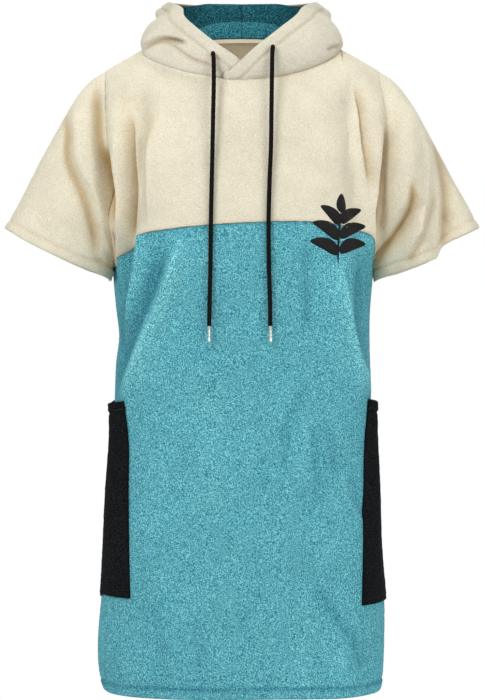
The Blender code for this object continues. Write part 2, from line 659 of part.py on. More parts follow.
def cloth_piece(name, columns, rows, place, facing, wall, material, at_edge=None, tube=False):
    """A wall of cloth inside the sheet that place gives by column and row.

    facing is 1 where columns crossed with rows point out of the garment, and -1 where they point
    into it.  A wall below zero is laid outside the sheet.  at_edge turns the direction out of the
    cloth at a column and row, so that the wall lies square against the piece it is sewn to.
    """
    points = [[place(column, row) for row in range(rows + 1)] for column in range(columns + 1)]

    def at_depth(column, row, depth):
        before, after = max(column - 1, 0), min(column + 1, columns)
        if tube:
            before, after = (column - 1) % columns, (column + 1) % columns
        across = points[after][row] - points[before][row]
        upwards = points[column][min(row + 1, rows)] - points[column][max(row - 1, 0)]
        normal = (across.cross(upwards) * facing).normalized()
        if at_edge:
            normal = at_edge(column, row, normal).normalized()
        return points[column][row] - normal * depth
    return layered_piece(name, columns, rows, at_depth, wall, material, tube)


def make_yokes():
    """The cream upper front and upper back."""
    for name, face in (("front_yoke", FRONT), ("back_yoke", BACK)):
        half = half_columns(face)

        def at_edge(column, row, normal):
            side = LEFT if column > half else RIGHT
            if row == 0:
                return seam_normal(column - half, face)
            if row == YOKE_ROWS and abs(column - half) >= NECK_COLUMNS[face]:
                normal.y = 0
            if column in (0, 2 * half):
                normal.x = side * max(side * normal.x, 0)
            return normal
        cloth_piece(name, 2 * half, YOKE_ROWS, lambda column, row: yoke_point(column - half, row, face),
                    -face, CLOTH, "cream_terry", at_edge)


def make_lower_body():
    """The teal front and back, from the colour seam to the hem."""
    rows = len(BODY_HEIGHTS) - 1
    for name, face in (("front_body", FRONT), ("back_body", BACK)):
        half = half_columns(face)

        def at_edge(column, row, normal):
            if row == rows:
                return seam_normal(column - half, face)
            if column in (0, 2 * half):
                normal.y = 0
            return normal
        cloth_piece(name, 2 * half, rows, lambda column, row: lower_point(column - half, row, face),
                    -face, CLOTH, "teal_terry", at_edge)


def make_sleeves():
    """The two drop sleeves, each a tube with its seam under the arm."""
    for name, side in (("sleeve_left", LEFT), ("sleeve_right", RIGHT)):
        def place(column, ring):
            face = FRONT if column <= YOKE_ROWS else BACK
            row = column if column <= YOKE_ROWS else 2 * YOKE_ROWS - column
            point = sleeve_point(ring, row, side, face)
            if row in (0, YOKE_ROWS):
                point.y = 0.0
            return point

        def at_edge(column, ring, normal):
            if ring == 0:
                angle = math.pi * column / YOKE_ROWS
                return Vector((0, -math.sin(angle), -math.cos(angle)))
            return normal
        cloth_piece(name, 2 * YOKE_ROWS, SLEEVE_RINGS, place, -side, CLOTH, "cream_terry", at_edge,
                    tube=True)


def make_hood():
    """The outer hood and its lining, each in two halves that meet at the middle of the back."""
    lining_turns = [LINING_LAP - LAP] + HOOD_TURNS
    layers = (("hood", [-LAP] + lining_turns, 0.0, 0.0, HOOD_CLOTH, "cream_terry"),
              ("hood_lining", lining_turns, LINING_INSET, HOOD_CLOTH + LINING_GAP, LINING, "teal_terry"))
    for layer, turns, rim_inset, start, wall, material in layers:
        for end, side in (("left", LEFT), ("right", RIGHT)):
            def place(column, row, depth):
                turn = turns[column]
                point = hood_point(turn, row / HOOD_ROWS, side, start + depth)
                if row == HOOD_ROWS:
                    back = hood_point(turn, (row - 1) / HOOD_ROWS, side, start + depth) - point
                    point += back * min(rim_inset / back.length, INSET_MOST)
                if row == 0:
                    point.z += SEAM
                if column == len(turns) - 1:
                    point.x = side * SEAM / 2
                return point
            layered_piece(layer + "_" + end, len(turns) - 1, HOOD_ROWS, place, wall, material)


def make_neck_tape():
    """The tape that covers the back neck seam on the inside, from one shoulder to the other."""
    def place(column, row):
        turn = 180 - TAPE_REACH + 2 * TAPE_REACH * column / TAPE_COLUMNS
        angle = math.radians(turn)
        outwards = Vector((math.sin(angle) / NECK_HALF_WIDTH, -math.cos(angle) / NECK_BACK, 0))
        point = neck_point(turn) - outwards.normalized() * (CLOTH + SEAM)
        point.z -= SEAM + TAPE_WIDTH * row
        return point
    cloth_piece("neck_tape", TAPE_COLUMNS, 1, place, -1, TAPE_WALL, "cream_terry")


def make_pockets():
    """The patch pockets, which wrap the side seams and stand open at the top."""
    low, high = POCKET_ROWS
    for name, side in (("pocket_left", LEFT), ("pocket_right", RIGHT)):
        reach = POCKET_REACH[side]

        def place(column, row):
            from_seam = column - reach.front
            face, steps = (FRONT, reach.front) if from_seam < 0 else (BACK, reach.back)
            share = from_seam / steps
            bulge = POCKET_STAND * math.cos(math.pi / 2 * share)
            bulge += POCKET_GAPE * math.sin(math.pi * share) ** 2
            bulge *= ease(row / (high - low) / POCKET_FILL)
            panel_column = side * (half_columns(face) - abs(from_seam))
            point = lower_point(panel_column, low + row, face, POCKET_EDGE + bulge)
            if from_seam == 0:
                point.y = 0.0
            return point
        cloth_piece(name, reach.front + reach.back, high - low, place, side, -CLOTH, "black_terry")


def make_drawcords():
    """The free ends of the drawcord, each with a round metal tip pressed on."""
    for end, side in (("left", LEFT), ("right", RIGHT)):
        path = smooth_path(CORD_ROUTE[side], CORD_POINTS)
        curve = bpy.data.curves.new("drawcord_" + end, "CURVE")
        curve.dimensions = "3D"
        curve.bevel_depth = CORD_DIAMETER / 2
        curve.bevel_resolution = 2
        curve.use_fill_caps = True
        spline = curve.splines.new("POLY")
        spline.points.add(CORD_POINTS - 1)
        for point, place in zip(spline.points, path):
            point.co = (*place, 1.0)
        curve.materials.append(bpy.data.materials["black_cord"])
        PONCHO.objects.link(bpy.data.objects.new("drawcord_" + end, curve))

        down = (path[-1] - path[-2]).normalized()
        work = bmesh.new()
        bmesh.ops.create_cone(work, cap_ends=True, segments=12, radius1=TIP_DIAMETER / 2,
                              radius2=TIP_DIAMETER / 2, depth=TIP_LENGTH)
        mesh = bpy.data.meshes.new("cord_tip_" + end)
        work.to_mesh(mesh)
        work.free()
        tip = finish_piece("cord_tip_" + end, mesh, "silver_metal")
        mesh.set_sharp_from_angle(angle=math.radians(40))
        tip.rotation_euler = down.to_track_quat("Z", "Y").to_euler()
        tip.location = path[-1] + down * (SEAM + TIP_LENGTH / 2)


for old in list(bpy.data.objects):
    bpy.data.objects.remove(old, do_unlink=True)
PONCHO = bpy.data.collections.new("hooded_bath_poncho")
bpy.context.scene.collection.children.link(PONCHO)
make_materials()
make_yokes()
make_lower_body()
make_sleeves()
make_hood()
make_neck_tape()
make_pockets()
make_drawcords()
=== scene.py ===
"""Hooded bath poncho of cotton terry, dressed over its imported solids.  Metres, +Z up, front at -Y."""
import math
from collections import namedtuple

import bmesh
import bpy
import numpy as np
from mathutils import Matrix, Vector, kdtree, noise
from mathutils.bvhtree import BVHTree


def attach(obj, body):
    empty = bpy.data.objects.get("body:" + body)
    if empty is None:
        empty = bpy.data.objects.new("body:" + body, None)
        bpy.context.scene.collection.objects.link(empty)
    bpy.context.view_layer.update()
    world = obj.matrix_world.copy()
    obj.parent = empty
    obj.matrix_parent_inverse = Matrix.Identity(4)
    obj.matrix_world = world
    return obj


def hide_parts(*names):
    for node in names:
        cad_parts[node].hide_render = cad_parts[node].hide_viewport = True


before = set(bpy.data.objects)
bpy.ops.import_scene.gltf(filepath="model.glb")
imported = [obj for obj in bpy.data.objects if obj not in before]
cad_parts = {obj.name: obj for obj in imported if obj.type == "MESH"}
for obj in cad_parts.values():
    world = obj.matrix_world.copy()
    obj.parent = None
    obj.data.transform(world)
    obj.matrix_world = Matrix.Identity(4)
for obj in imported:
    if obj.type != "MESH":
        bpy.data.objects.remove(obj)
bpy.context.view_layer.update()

# ------------------------------------------------------------------ studio
# A white backdrop, a pale floor below the hanging garment, and soft light from the front and the left.
# The camera looks level at the middle of the garment from 2.84 m away.
VIEW_DISTANCE = 2.84
EYE_HEIGHT = -0.471
VIEW_MIDDLE = 0.0008
FRAME_HEIGHT = 1.099        # metres of the garment's middle plane that the view is high
SENSOR = 24.0
FLOOR_HEIGHT = -1.32
FLOOR_RADIUS = 1.15
FLOOR_COLOUR = (0.76, 0.76, 0.75)
BACKDROP_STRENGTH = 0.52    # how much light the backdrop gives; the camera sees it as pure white


def aim(thing, target):
    """Turns a light or camera so that it looks at a point."""
    thing.rotation_euler = (Vector(target) - thing.location).to_track_quat("-Z", "Y").to_euler()


camera = bpy.data.objects.new("camera", bpy.data.cameras.new("camera"))
bpy.context.scene.collection.objects.link(camera)
camera.data.sensor_fit = "VERTICAL"
camera.data.sensor_height = SENSOR
camera.data.lens = SENSOR * VIEW_DISTANCE / FRAME_HEIGHT
camera.location = (VIEW_MIDDLE, -VIEW_DISTANCE, EYE_HEIGHT)
aim(camera, (VIEW_MIDDLE, 0, EYE_HEIGHT))
bpy.context.scene.camera = camera
bpy.context.scene.view_settings.view_transform = "Standard"

# name: place, target, side of the square lamp, watts; the neck's lamp is inside the garment
LIGHTS = {
    "key": ((-1.7, -2.3, 1.4), (0, 0, -0.45), 1.3, 56),
    "fill": ((2.0, -2.4, 0.2), (0, 0, -0.5), 1.8, 36),
    "top": ((0.2, 0.3, 1.9), (0, 0, 0), 1.4, 12),
    "back": ((0.8, 2.6, 0.8), (0, 0, -0.4), 1.8, 34),
    "neck": ((0, -0.03, -0.17), (0, 0.12, -0.02), 0.12, 0.17),
}
for name, (place, target, size, power) in LIGHTS.items():
    light = bpy.data.lights.new(name, "AREA")
    light.size = size
    light.energy = power
    lamp = bpy.data.objects.new(name, light)
    lamp.location = place
    aim(lamp, target)
    bpy.context.scene.collection.objects.link(lamp)

world = bpy.data.worlds.new("backdrop")
bpy.context.scene.world = world
world.use_nodes = True
world_nodes = world.node_tree.nodes
backdrop = world_nodes["Background"]
backdrop.inputs["Color"].default_value = (1, 1, 1, 1)
backdrop.inputs["Strength"].default_value = BACKDROP_STRENGTH
seen = world_nodes.new("ShaderNodeBackground")
seen.inputs["Color"].default_value = (1, 1, 1, 1)
rays = world_nodes.new("ShaderNodeLightPath")
choose = world_nodes.new("ShaderNodeMixShader")
world.node_tree.links.new(rays.outputs["Is Camera Ray"], choose.inputs[0])
world.node_tree.links.new(backdrop.outputs[0], choose.inputs[1])
world.node_tree.links.new(seen.outputs[0], choose.inputs[2])
world.node_tree.links.new(choose.outputs[0], world_nodes["World Output"].inputs[0])

floor_mesh = bpy.data.meshes.new("floor")
work = bmesh.new()
bmesh.ops.create_circle(work, cap_ends=True, segments=96, radius=FLOOR_RADIUS,
                        matrix=Matrix.Translation((0, 0, FLOOR_HEIGHT)))
work.to_mesh(floor_mesh)
work.free()
floor = bpy.data.objects.new("floor", floor_mesh)
bpy.context.scene.collection.objects.link(floor)
paint = bpy.data.materials.new("pale floor")
paint.use_nodes = True
paint.node_tree.nodes["Principled BSDF"].inputs["Base Color"].default_value = (*FLOOR_COLOUR, 1)
paint.node_tree.nodes["Principled BSDF"].inputs["Roughness"].default_value = 0.9
floor_mesh.materials.append(paint)


# ------------------------------------------------------------------ drawcord
# The two free ends of the hood's drawcord: a round black polyester braid, 7 mm thick.  Each comes out of
# an eyelet in the hood's casing, drops on to the chest and hangs down it to a metal tip.
CORD_DIAMETER = 0.007
CORD_POINTS = 330
CORD_SIDES = 24             # 4 more than twice the curve's bevel resolution
BRAID_STRANDS = 8
BRAID_PITCH = 0.0052
BRAID_RELIEF = 0.00045
BRAID_ROUNDING = 0.6        # under 1 fattens the strands and narrows the grooves between them
LEFT, RIGHT = 1, -1         # the wearer's sides
SIDES = ((LEFT, "left"), (RIGHT, "right"))
CORD_ROUTE = {
    RIGHT: [(-0.0440, -0.0897, -0.0215), (-0.0438, -0.0975, -0.0215), (-0.0428, -0.1060, -0.0345),
            (-0.0424, -0.1165, -0.0700), (-0.0432, -0.1255, -0.1130), (-0.0440, -0.1325, -0.1630),
            (-0.0452, -0.1370, -0.2200), (-0.0464, -0.1390, -0.2800), (-0.0470, -0.1385, -0.3400),
            (-0.0482, -0.1375, -0.3950), (-0.0490, -0.1370, -0.4350)],
    LEFT: [(0.0470, -0.0896, -0.0115), (0.0467, -0.0972, -0.0115), (0.0458, -0.1052, -0.0250),
           (0.0450, -0.1160, -0.0680), (0.0442, -0.1255, -0.1180), (0.0434, -0.1330, -0.1680),
           (0.0412, -0.1370, -0.2200), (0.0398, -0.1390, -0.2800), (0.0402, -0.1385, -0.3400),
           (0.0418, -0.1375, -0.3950), (0.0424, -0.1370, -0.4350)],
}


def smooth_path(points, count):
    """So many points on a smooth curve through the given ones, whose steps are numbered evenly."""
    stops = [Vector(point) for point in points]
    last = len(stops) - 1
    path = []
    for number in range(count):
        place = last * number / (count - 1)
        low = min(int(place), last - 1)
        t = place - low
        near, far = stops[low], stops[low + 1]
        before, after = stops[max(low - 1, 0)], stops[min(low + 2, last)]
        leave = (far - before) / (2 if low else 1)
        arrive = (after - near) / (2 if low < last - 1 else 1)
        path.append((2 * t ** 3 - 3 * t ** 2 + 1) * near + (t ** 3 - 2 * t ** 2 + t) * leave
                    + (3 * t ** 2 - 2 * t ** 3) * far + (t ** 3 - t ** 2) * arrive)
    return path


def new_piece(name, work, material):
    """Makes an object of a bmesh and puts it on the garment."""
    mesh = bpy.data.meshes.new(name)
    work.to_mesh(mesh)
    work.free()
    mesh.shade_smooth()
    mesh.materials.append(material)
    piece = bpy.data.objects.new(name, mesh)
    bpy.context.scene.collection.objects.link(piece)
    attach(piece, "root")
    return piece


def plain_material(name, colour, roughness, metallic=0.0):
    """A material with one colour, its shader and its node tree, for the nodes that give it its detail."""
    material = bpy.data.materials.new(name)
    material.use_nodes = True
    tree = material.node_tree
    shader = tree.nodes["Principled BSDF"]
    shader.inputs["Base Color"].default_value = (*colour, 1)
    shader.inputs["Roughness"].default_value = roughness
    shader.inputs["Metallic"].default_value = metallic
    return material, tree, shader


def add_bump(tree, shader, height, strength, distance):
    """Runs a height through a Bump node into the shader."""
    bump = tree.nodes.new("ShaderNodeBump")
    bump.inputs["Strength"].default_value = strength
    bump.inputs["Distance"].default_value = distance
    tree.links.new(height, bump.inputs["Height"])
    tree.links.new(bump.outputs["Normal"], shader.inputs["Normal"])


def object_noise(tree, scale, detail=2.0, roughness=0.5):
    """The value of a noise on Object coordinates."""
    place = tree.nodes.new("ShaderNodeTexCoord")
    grain = tree.nodes.new("ShaderNodeTexNoise")
    grain.inputs["Scale"].default_value = scale
    grain.inputs["Detail"].default_value = detail
    grain.inputs["Roughness"].default_value = roughness
    tree.links.new(place.outputs["Object"], grain.inputs["Vector"])
    return grain.outputs["Fac"]


def blend_colours(tree, share, stops):
    """A colour ramp: stops is a list of (place, colour)."""
    ramp = tree.nodes.new("ShaderNodeValToRGB")
    tree.links.new(share, ramp.inputs["Fac"])
    for number, (place, colour) in enumerate(stops):
        stop = ramp.color_ramp.elements[number] if number < 2 else ramp.color_ramp.elements.new(place)
        stop.position = place
        stop.color = (*colour, 1)
    return ramp.outputs["Color"]


cord_braid, tree, shader = plain_material("black cord braid", (0.004, 0.0035, 0.003), 0.8)
tree.links.new(blend_colours(tree, object_noise(tree, 900), [(0.3, (0.0015, 0.0015, 0.0015)),
                                                             (0.75, (0.008, 0.007, 0.006))]),
               shader.inputs["Base Color"])
shader.inputs["Specular IOR Level"].default_value = 0.1
add_bump(tree, shader, object_noise(tree, 1800), 0.5, 0.0003)

cord_ends = {}
for side, end in SIDES:
    path = smooth_path(CORD_ROUTE[side], CORD_POINTS)
    curve = bpy.data.curves.new("route_" + end, "CURVE")
    curve.dimensions = "3D"
    curve.bevel_depth = CORD_DIAMETER / 2 - BRAID_RELIEF
    curve.bevel_resolution = (CORD_SIDES - 4) // 2
    spline = curve.splines.new("POLY")
    spline.points.add(CORD_POINTS - 1)
    for point, place in zip(spline.points, path):
        point.co = (*place, 1)
    route = bpy.data.objects.new("route_" + end, curve)
    work = bmesh.new()
    work.from_mesh(bpy.data.meshes.new_from_object(route))
    bpy.data.objects.remove(route)
    work.verts.ensure_lookup_table()
    sides = len(work.verts) // CORD_POINTS
    run = [0.0]
    for near, far in zip(path, path[1:]):
        run.append(run[-1] + (far - near).length)
    for vert in work.verts:
        ring, step = divmod(vert.index, sides)
        turn = BRAID_STRANDS * step / sides
        rise = run[ring] / BRAID_PITCH
        lump = abs(math.cos(math.pi * (turn + rise) / 2) * math.cos(math.pi * (turn - rise) / 2))
        vert.co += (vert.co - path[ring]).normalized() * BRAID_RELIEF * lump ** BRAID_ROUNDING
    bmesh.ops.holes_fill(work, edges=[edge for edge in work.edges if edge.is_boundary], sides=0)
    bmesh.ops.recalc_face_normals(work, faces=work.faces)
    new_piece("drawcord_braid_" + end, work, cord_braid)
    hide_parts("drawcord_" + end)
    cord_ends[side] = (path, run[-1])

# ------------------------------------------------------------------ cord tips
# A short tube of thin silver-coloured metal on each end of the cord, which keeps the braid from fraying.
# It is pressed on: its two ends are rolled to a rim and its side is crimped in three places.
TIP_RADIUS = 0.0026
TIP_LENGTH = 0.0235
TIP_GAP = 0.0003            # between the end of the braid and the tube
TIP_SEGMENTS = 28
TUBE_WIDTH = 0.95           # the tube between its crimps, as a share of its radius
TIP_CRIMP = 0.00065         # how deeply a crimp is pressed in
CRIMP_PLACES = (0.28, 0.5, 0.72)
CRIMP_HALF = 0.075
# the rolled rim, in shares of the tube's radius and of its length from the upper end
TIP_RIM = [(0.0, 0.0), (0.62, 0.0), (0.98, 0.015), (1.0, 0.04), (0.96, 0.065), (0.93, 0.09)]
MERGE = 0.00002             # points nearer to each other than this are one point

tip_metal, tree, shader = plain_material("silver tip metal", (0.80, 0.78, 0.74), 0.30, 1.0)
add_bump(tree, shader, object_noise(tree, 1400, 3), 0.12, 0.0002)
for side, end in SIDES:
    path, length = cord_ends[side]
    down = (path[-1] - path[-2]).normalized()
    profile = list(TIP_RIM)
    for crimp in CRIMP_PLACES:
        profile += [(TUBE_WIDTH, crimp - CRIMP_HALF), (TUBE_WIDTH - TIP_CRIMP / TIP_RADIUS, crimp),
                    (TUBE_WIDTH, crimp + CRIMP_HALF)]
    profile += [(out, 1 - up) for out, up in reversed(TIP_RIM)]
    work = bmesh.new()
    rim = [work.verts.new((out * TIP_RADIUS, 0, -up * TIP_LENGTH)) for out, up in profile]
    line = [work.edges.new(pair) for pair in zip(rim, rim[1:])]
    bmesh.ops.spin(work, geom=rim + line, cent=(0, 0, 0), axis=(0, 0, 1), angle=math.tau,
                   steps=TIP_SEGMENTS, use_merge=True)
    bmesh.ops.remove_doubles(work, verts=work.verts, dist=MERGE)
    bmesh.ops.recalc_face_normals(work, faces=work.faces)
    start = path[-1] + down * TIP_GAP
    turn = down.to_track_quat("-Z", "Y").to_matrix().to_4x4()
    bmesh.ops.transform(work, matrix=Matrix.Translation(start) @ turn, verts=work.verts)
    tip = new_piece("cord_tip_metal_" + end, work, tip_metal)
    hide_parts("cord_tip_" + end)

# ------------------------------------------------------------------ cream yokes
# The upper front and upper back, cut from cream cotton terry and sewn at the shoulders, to the sleeves
# round the armholes, to the hood round the neck and to the teal panels below.
RIM_ANGLE = math.radians(48)        # an edge that turns more sharply than this is at the cloth's cut edge
FINEST = 0.0030             # longest edge on the face side of the cloth
COARSER = 0.0037            # the same where less is seen
SUBDIVISIONS = 2            # of the solid's wall, before its seen side is divided further
PANEL_ANGLE = math.radians(80)      # triangles are joined to panels whose corners are this near to square
SEAM_REACH = 0.0070         # how far from a seam the cloth dips into it
SEAM_DIP = 0.0012
SEAM_SHADE = 0.55           # how dark the painted shade at the bottom of a seam is, where a full crease is 1
SEAM_SHOWS = 0.2            # a rim that dips more deeply than this is a seam that shows
SEAM_CLOSE = 0.00035        # half the gap between two pieces that are sewn together
QUIET_CLOSE = 0.0012        # the same at a seam that hardly shows
HEM_SWELL = 0.0009          # how much the turned cloth stands out at a hem
HEM_STEP = 0.0020           # over which the swelling ends at the hem's stitches
HEM_GROOVE = 0.0024         # half width of the groove that the stitches press into the pile
GROOVE_DEPTH = 1.6          # and its depth, in heights of the swelling
PILE = 0.0007               # height of the lumps of the pile
PILE_MEAN = 0.5             # their middle height, as a share of that
PILE_SWING = 0.55           # and how far the fine and the coarse ones go above and below it
PILE_FINE, PILE_COARSE = 210, 90    # lumps to a metre
RIM_RAMP = 0.0025           # how far in from a rim the pile is at its full height
HIDDEN_SHADE = 0.55         # how dark the even painted shade on the unseen side is
SAG = 0.0020                # height of the broad soft waves all over the cloth
SAG_SIZE = 12.0             # how many of them there are to a metre
SAG_DROP = 0.6              # and upwards, as a share of that
FOLD_LEAN = 0.45            # how much the body's folds stand out to the side as well as to the front
BODY_HALF = 0.200           # past this distance from the middle they stop doing so, over the next span
BODY_FADE = 0.030
CREASE_STEPS = 5            # steps of a crease's smooth line for each point that it is drawn through
CREASE_MARGIN = 2.6         # widths of a crease, past which it moves nothing
CREASE_ENDS = 0.22          # share of a crease's length over which either end rises
CREASE_FALL = 1.6           # how squarely a crease falls off to its sides
SOFTEN_ROUNDS = 8           # rounds of smoothing of the wall's own kinks
SOFTEN_MOST = 0.0018        # and the furthest that they move a point
HIDDEN_SHARE = 4            # the unseen side is coarser, and is smoothed in one round out of so many
# places where the top of a fold is rounded off: middle, radius and rounds of smoothing
ROUNDED = [((-0.146, -0.095, -0.115), 0.046, 24), ((-0.146, -0.095, -0.115), 0.036, 40),
           ((-0.146, -0.095, -0.120), 0.026, 40)]
SIDE_FADE = 0.026           # how far in front of or behind the side seams the creases are at full height
FULL_FOLD = 0.0120          # depth of a crease at which its painted shade is full
# low and high are how far a crease fades on its side of lower x and of higher x, or below and above it
# where it runs level.  The line is written from the top down, or from lower x to higher x, as (x, z).
Crease = namedtuple("Crease", "rise low high line")
FRONT_CREASES = [
    # the right sleeve
    Crease(-0.0085, 0.006, 0.008, [(-0.280, -0.085), (-0.270, -0.140), (-0.270, -0.165), (-0.264, -0.193),
                                   (-0.251, -0.221), (-0.241, -0.245), (-0.234, -0.270), (-0.229, -0.293),
                                   (-0.221, -0.345)]),
    Crease(0.0055, 0.007, 0.012, [(-0.262, -0.080), (-0.257, -0.140), (-0.255, -0.165), (-0.246, -0.193),
                                  (-0.230, -0.221), (-0.215, -0.245), (-0.202, -0.273), (-0.192, -0.305)]),
    Crease(-0.0090, 0.007, 0.006, [(-0.229, -0.045), (-0.224, -0.108), (-0.222, -0.140), (-0.218, -0.165),
                                   (-0.212, -0.190), (-0.205, -0.215), (-0.200, -0.240), (-0.197, -0.280)]),
    Crease(0.0050, 0.0035, 0.010, [(-0.206, -0.040), (-0.203, -0.093), (-0.202, -0.126), (-0.199, -0.158),
                                   (-0.195, -0.189), (-0.191, -0.220), (-0.188, -0.248), (-0.188, -0.281),
                                   (-0.190, -0.310), (-0.193, -0.370)]),
    Crease(-0.0120, 0.008, 0.0030, [(-0.212, -0.150), (-0.206, -0.190), (-0.200, -0.222), (-0.197, -0.250),
                                    (-0.196, -0.290)]),
    Crease(-0.0060, 0.007, 0.0035, [(-0.197, -0.280), (-0.198, -0.320), (-0.200, -0.380)]),
    Crease(-0.0050, 0.004, 0.005, [(-0.228, -0.328), (-0.213, -0.340), (-0.197, -0.366)]),
    # the chest's fold and the side of the lower front under it, at the wearer's right
    Crease(-0.0085, 0.012, 0.0034, [(-0.172, -0.100), (-0.168, -0.132), (-0.166, -0.168), (-0.164, -0.190),
                                    (-0.161, -0.220), (-0.161, -0.248), (-0.163, -0.275), (-0.166, -0.320)]),
    Crease(0.0050, 0.0030, 0.018, [(-0.166, -0.130), (-0.161, -0.165), (-0.157, -0.190), (-0.154, -0.220),
                                   (-0.154, -0.250), (-0.156, -0.275), (-0.159, -0.313), (-0.166, -0.362),
                                   (-0.174, -0.407), (-0.179, -0.448), (-0.184, -0.490)]),
    Crease(-0.0080, 0.012, 0.0035, [(-0.163, -0.295), (-0.170, -0.345), (-0.179, -0.395), (-0.184, -0.440),
                                    (-0.190, -0.490)]),
    Crease(-0.0016, 0.010, 0.012, [(-0.150, -0.060), (-0.146, -0.120), (-0.146, -0.180)]),
    Crease(-0.0016, 0.008, 0.009, [(-0.184, -0.050), (-0.182, -0.090), (-0.180, -0.150)]),
    Crease(0.0115, 0.008, 0.016, [(-0.090, -0.285), (-0.096, -0.324), (-0.108, -0.363), (-0.121, -0.403),
                                  (-0.142, -0.448), (-0.157, -0.483), (-0.173, -0.520), (-0.188, -0.560)]),
    Crease(-0.0100, 0.012, 0.006, [(-0.110, -0.300), (-0.129, -0.363), (-0.146, -0.404), (-0.163, -0.448),
                                   (-0.177, -0.482), (-0.190, -0.520), (-0.196, -0.560)]),
    # the chest and the left armhole
    Crease(-0.0075, 0.0045, 0.008, [(0.174, -0.055), (0.181, -0.097), (0.184, -0.129), (0.187, -0.157),
                                    (0.192, -0.181), (0.199, -0.235)]),
    Crease(0.0032, 0.016, 0.004, [(0.166, -0.060), (0.174, -0.100), (0.178, -0.140), (0.182, -0.190),
                                  (0.188, -0.230), (0.192, -0.280)]),
    Crease(0.0062, 0.009, 0.0032, [(0.217, -0.030), (0.214, -0.077), (0.214, -0.103), (0.212, -0.148),
                                   (0.210, -0.173), (0.206, -0.211), (0.203, -0.236), (0.199, -0.260),
                                   (0.200, -0.296), (0.203, -0.345)]),
    Crease(-0.0085, 0.0035, 0.011, [(0.220, -0.115), (0.219, -0.150), (0.217, -0.175), (0.213, -0.211),
                                    (0.210, -0.236), (0.207, -0.262), (0.208, -0.310)]),
    # the left sleeve
    Crease(-0.0110, 0.0045, 0.009, [(0.261, -0.200), (0.258, -0.245), (0.247, -0.274), (0.236, -0.292),
                                    (0.222, -0.311), (0.212, -0.332), (0.207, -0.370)]),
    Crease(0.0055, 0.008, 0.009, [(0.288, -0.140), (0.288, -0.197), (0.284, -0.242), (0.272, -0.283),
                                  (0.256, -0.313), (0.236, -0.352)]),
    Crease(-0.0045, 0.005, 0.006, [(0.297, -0.215), (0.292, -0.250), (0.279, -0.289), (0.265, -0.318),
                                   (0.246, -0.355)]),
    Crease(0.0060, 0.010, 0.0032, [(0.262, -0.070), (0.277, -0.118), (0.286, -0.153), (0.294, -0.171),
                                   (0.299, -0.195), (0.302, -0.220), (0.303, -0.252), (0.300, -0.286),
                                   (0.296, -0.330)]),
    Crease(-0.0070, 0.0035, 0.012, [(0.290, -0.130), (0.302, -0.170), (0.308, -0.200), (0.311, -0.225),
                                    (0.311, -0.255), (0.309, -0.290), (0.306, -0.335)]),
    # the lower front
    Crease(0.0100, 0.013, 0.006, [(0.144, -0.320), (0.151, -0.369), (0.160, -0.414), (0.168, -0.453),
                                  (0.182, -0.494), (0.197, -0.550)]),
    Crease(-0.0080, 0.005, 0.010, [(0.184, -0.325), (0.177, -0.370), (0.176, -0.422), (0.180, -0.462),
                                   (0.191, -0.515)]),
    Crease(-0.0050, 0.009, 0.009, [(0.098, -0.300), (0.099, -0.381), (0.103, -0.460)]),
    Crease(-0.0040, 0.009, 0.010, [(0.104, -0.515), (0.072, -0.584), (0.062, -0.665)]),
    Crease(-0.0045, 0.007, 0.008, [(0.108, -0.580), (0.113, -0.650), (0.123, -0.720)]),
    Crease(-0.0035, 0.006, 0.007, [(0.126, -0.580), (0.148, -0.670)]),
    Crease(-0.0035, 0.007, 0.007, [(0.163, -0.655), (0.187, -0.735)]),
    Crease(-0.0050, 0.010, 0.010, [(0.106, -0.820), (0.151, -0.886), (0.176, -0.923), (0.192, -0.985)]),
    Crease(0.0035, 0.016, 0.016, [(0.102, -0.820), (0.090, -0.900), (0.084, -1.020)]),
    Crease(-0.0030, 0.016, 0.016, [(-0.141, -0.840), (-0.130, -0.908), (-0.120, -1.010)]),
    Crease(-0.0025, 0.018, 0.018, [(-0.078, -0.860), (-0.069, -0.930), (-0.064, -1.010)]),
    Crease(0.0030, 0.030, 0.030, [(-0.060, -0.480), (-0.050, -0.620), (-0.052, -0.760)]),
    # under the hood where it is turned down on the shoulders
    Crease(0.0100, 0.012, 0.011, [(-0.166, -0.002), (-0.150, -0.012), (-0.136, -0.023), (-0.120, -0.033),
                                  (-0.101, -0.042), (-0.078, -0.050), (-0.054, -0.057), (-0.026, -0.061)]),
    Crease(-0.0070, 0.005, 0.0028, [(-0.156, -0.008), (-0.146, 0.000), (-0.139, 0.004), (-0.130, 0.007),
                                    (-0.120, 0.008), (-0.108, 0.007), (-0.082, -0.002)]),
    Crease(0.0050, 0.003, 0.014, [(-0.160, 0.000), (-0.140, 0.011), (-0.122, 0.015), (-0.104, 0.012),
                                  (-0.078, 0.003)]),
    Crease(-0.0040, 0.0035, 0.0028, [(-0.128, 0.009), (-0.120, 0.005), (-0.107, -0.004), (-0.095, -0.014),
                                    (-0.079, -0.026), (-0.064, -0.033), (-0.049, -0.038), (-0.036, -0.047),
                                    (-0.024, -0.062)]),
    Crease(-0.0045, 0.005, 0.003, [(0.130, -0.010), (0.142, -0.003), (0.152, 0.002), (0.168, 0.008)]),
]
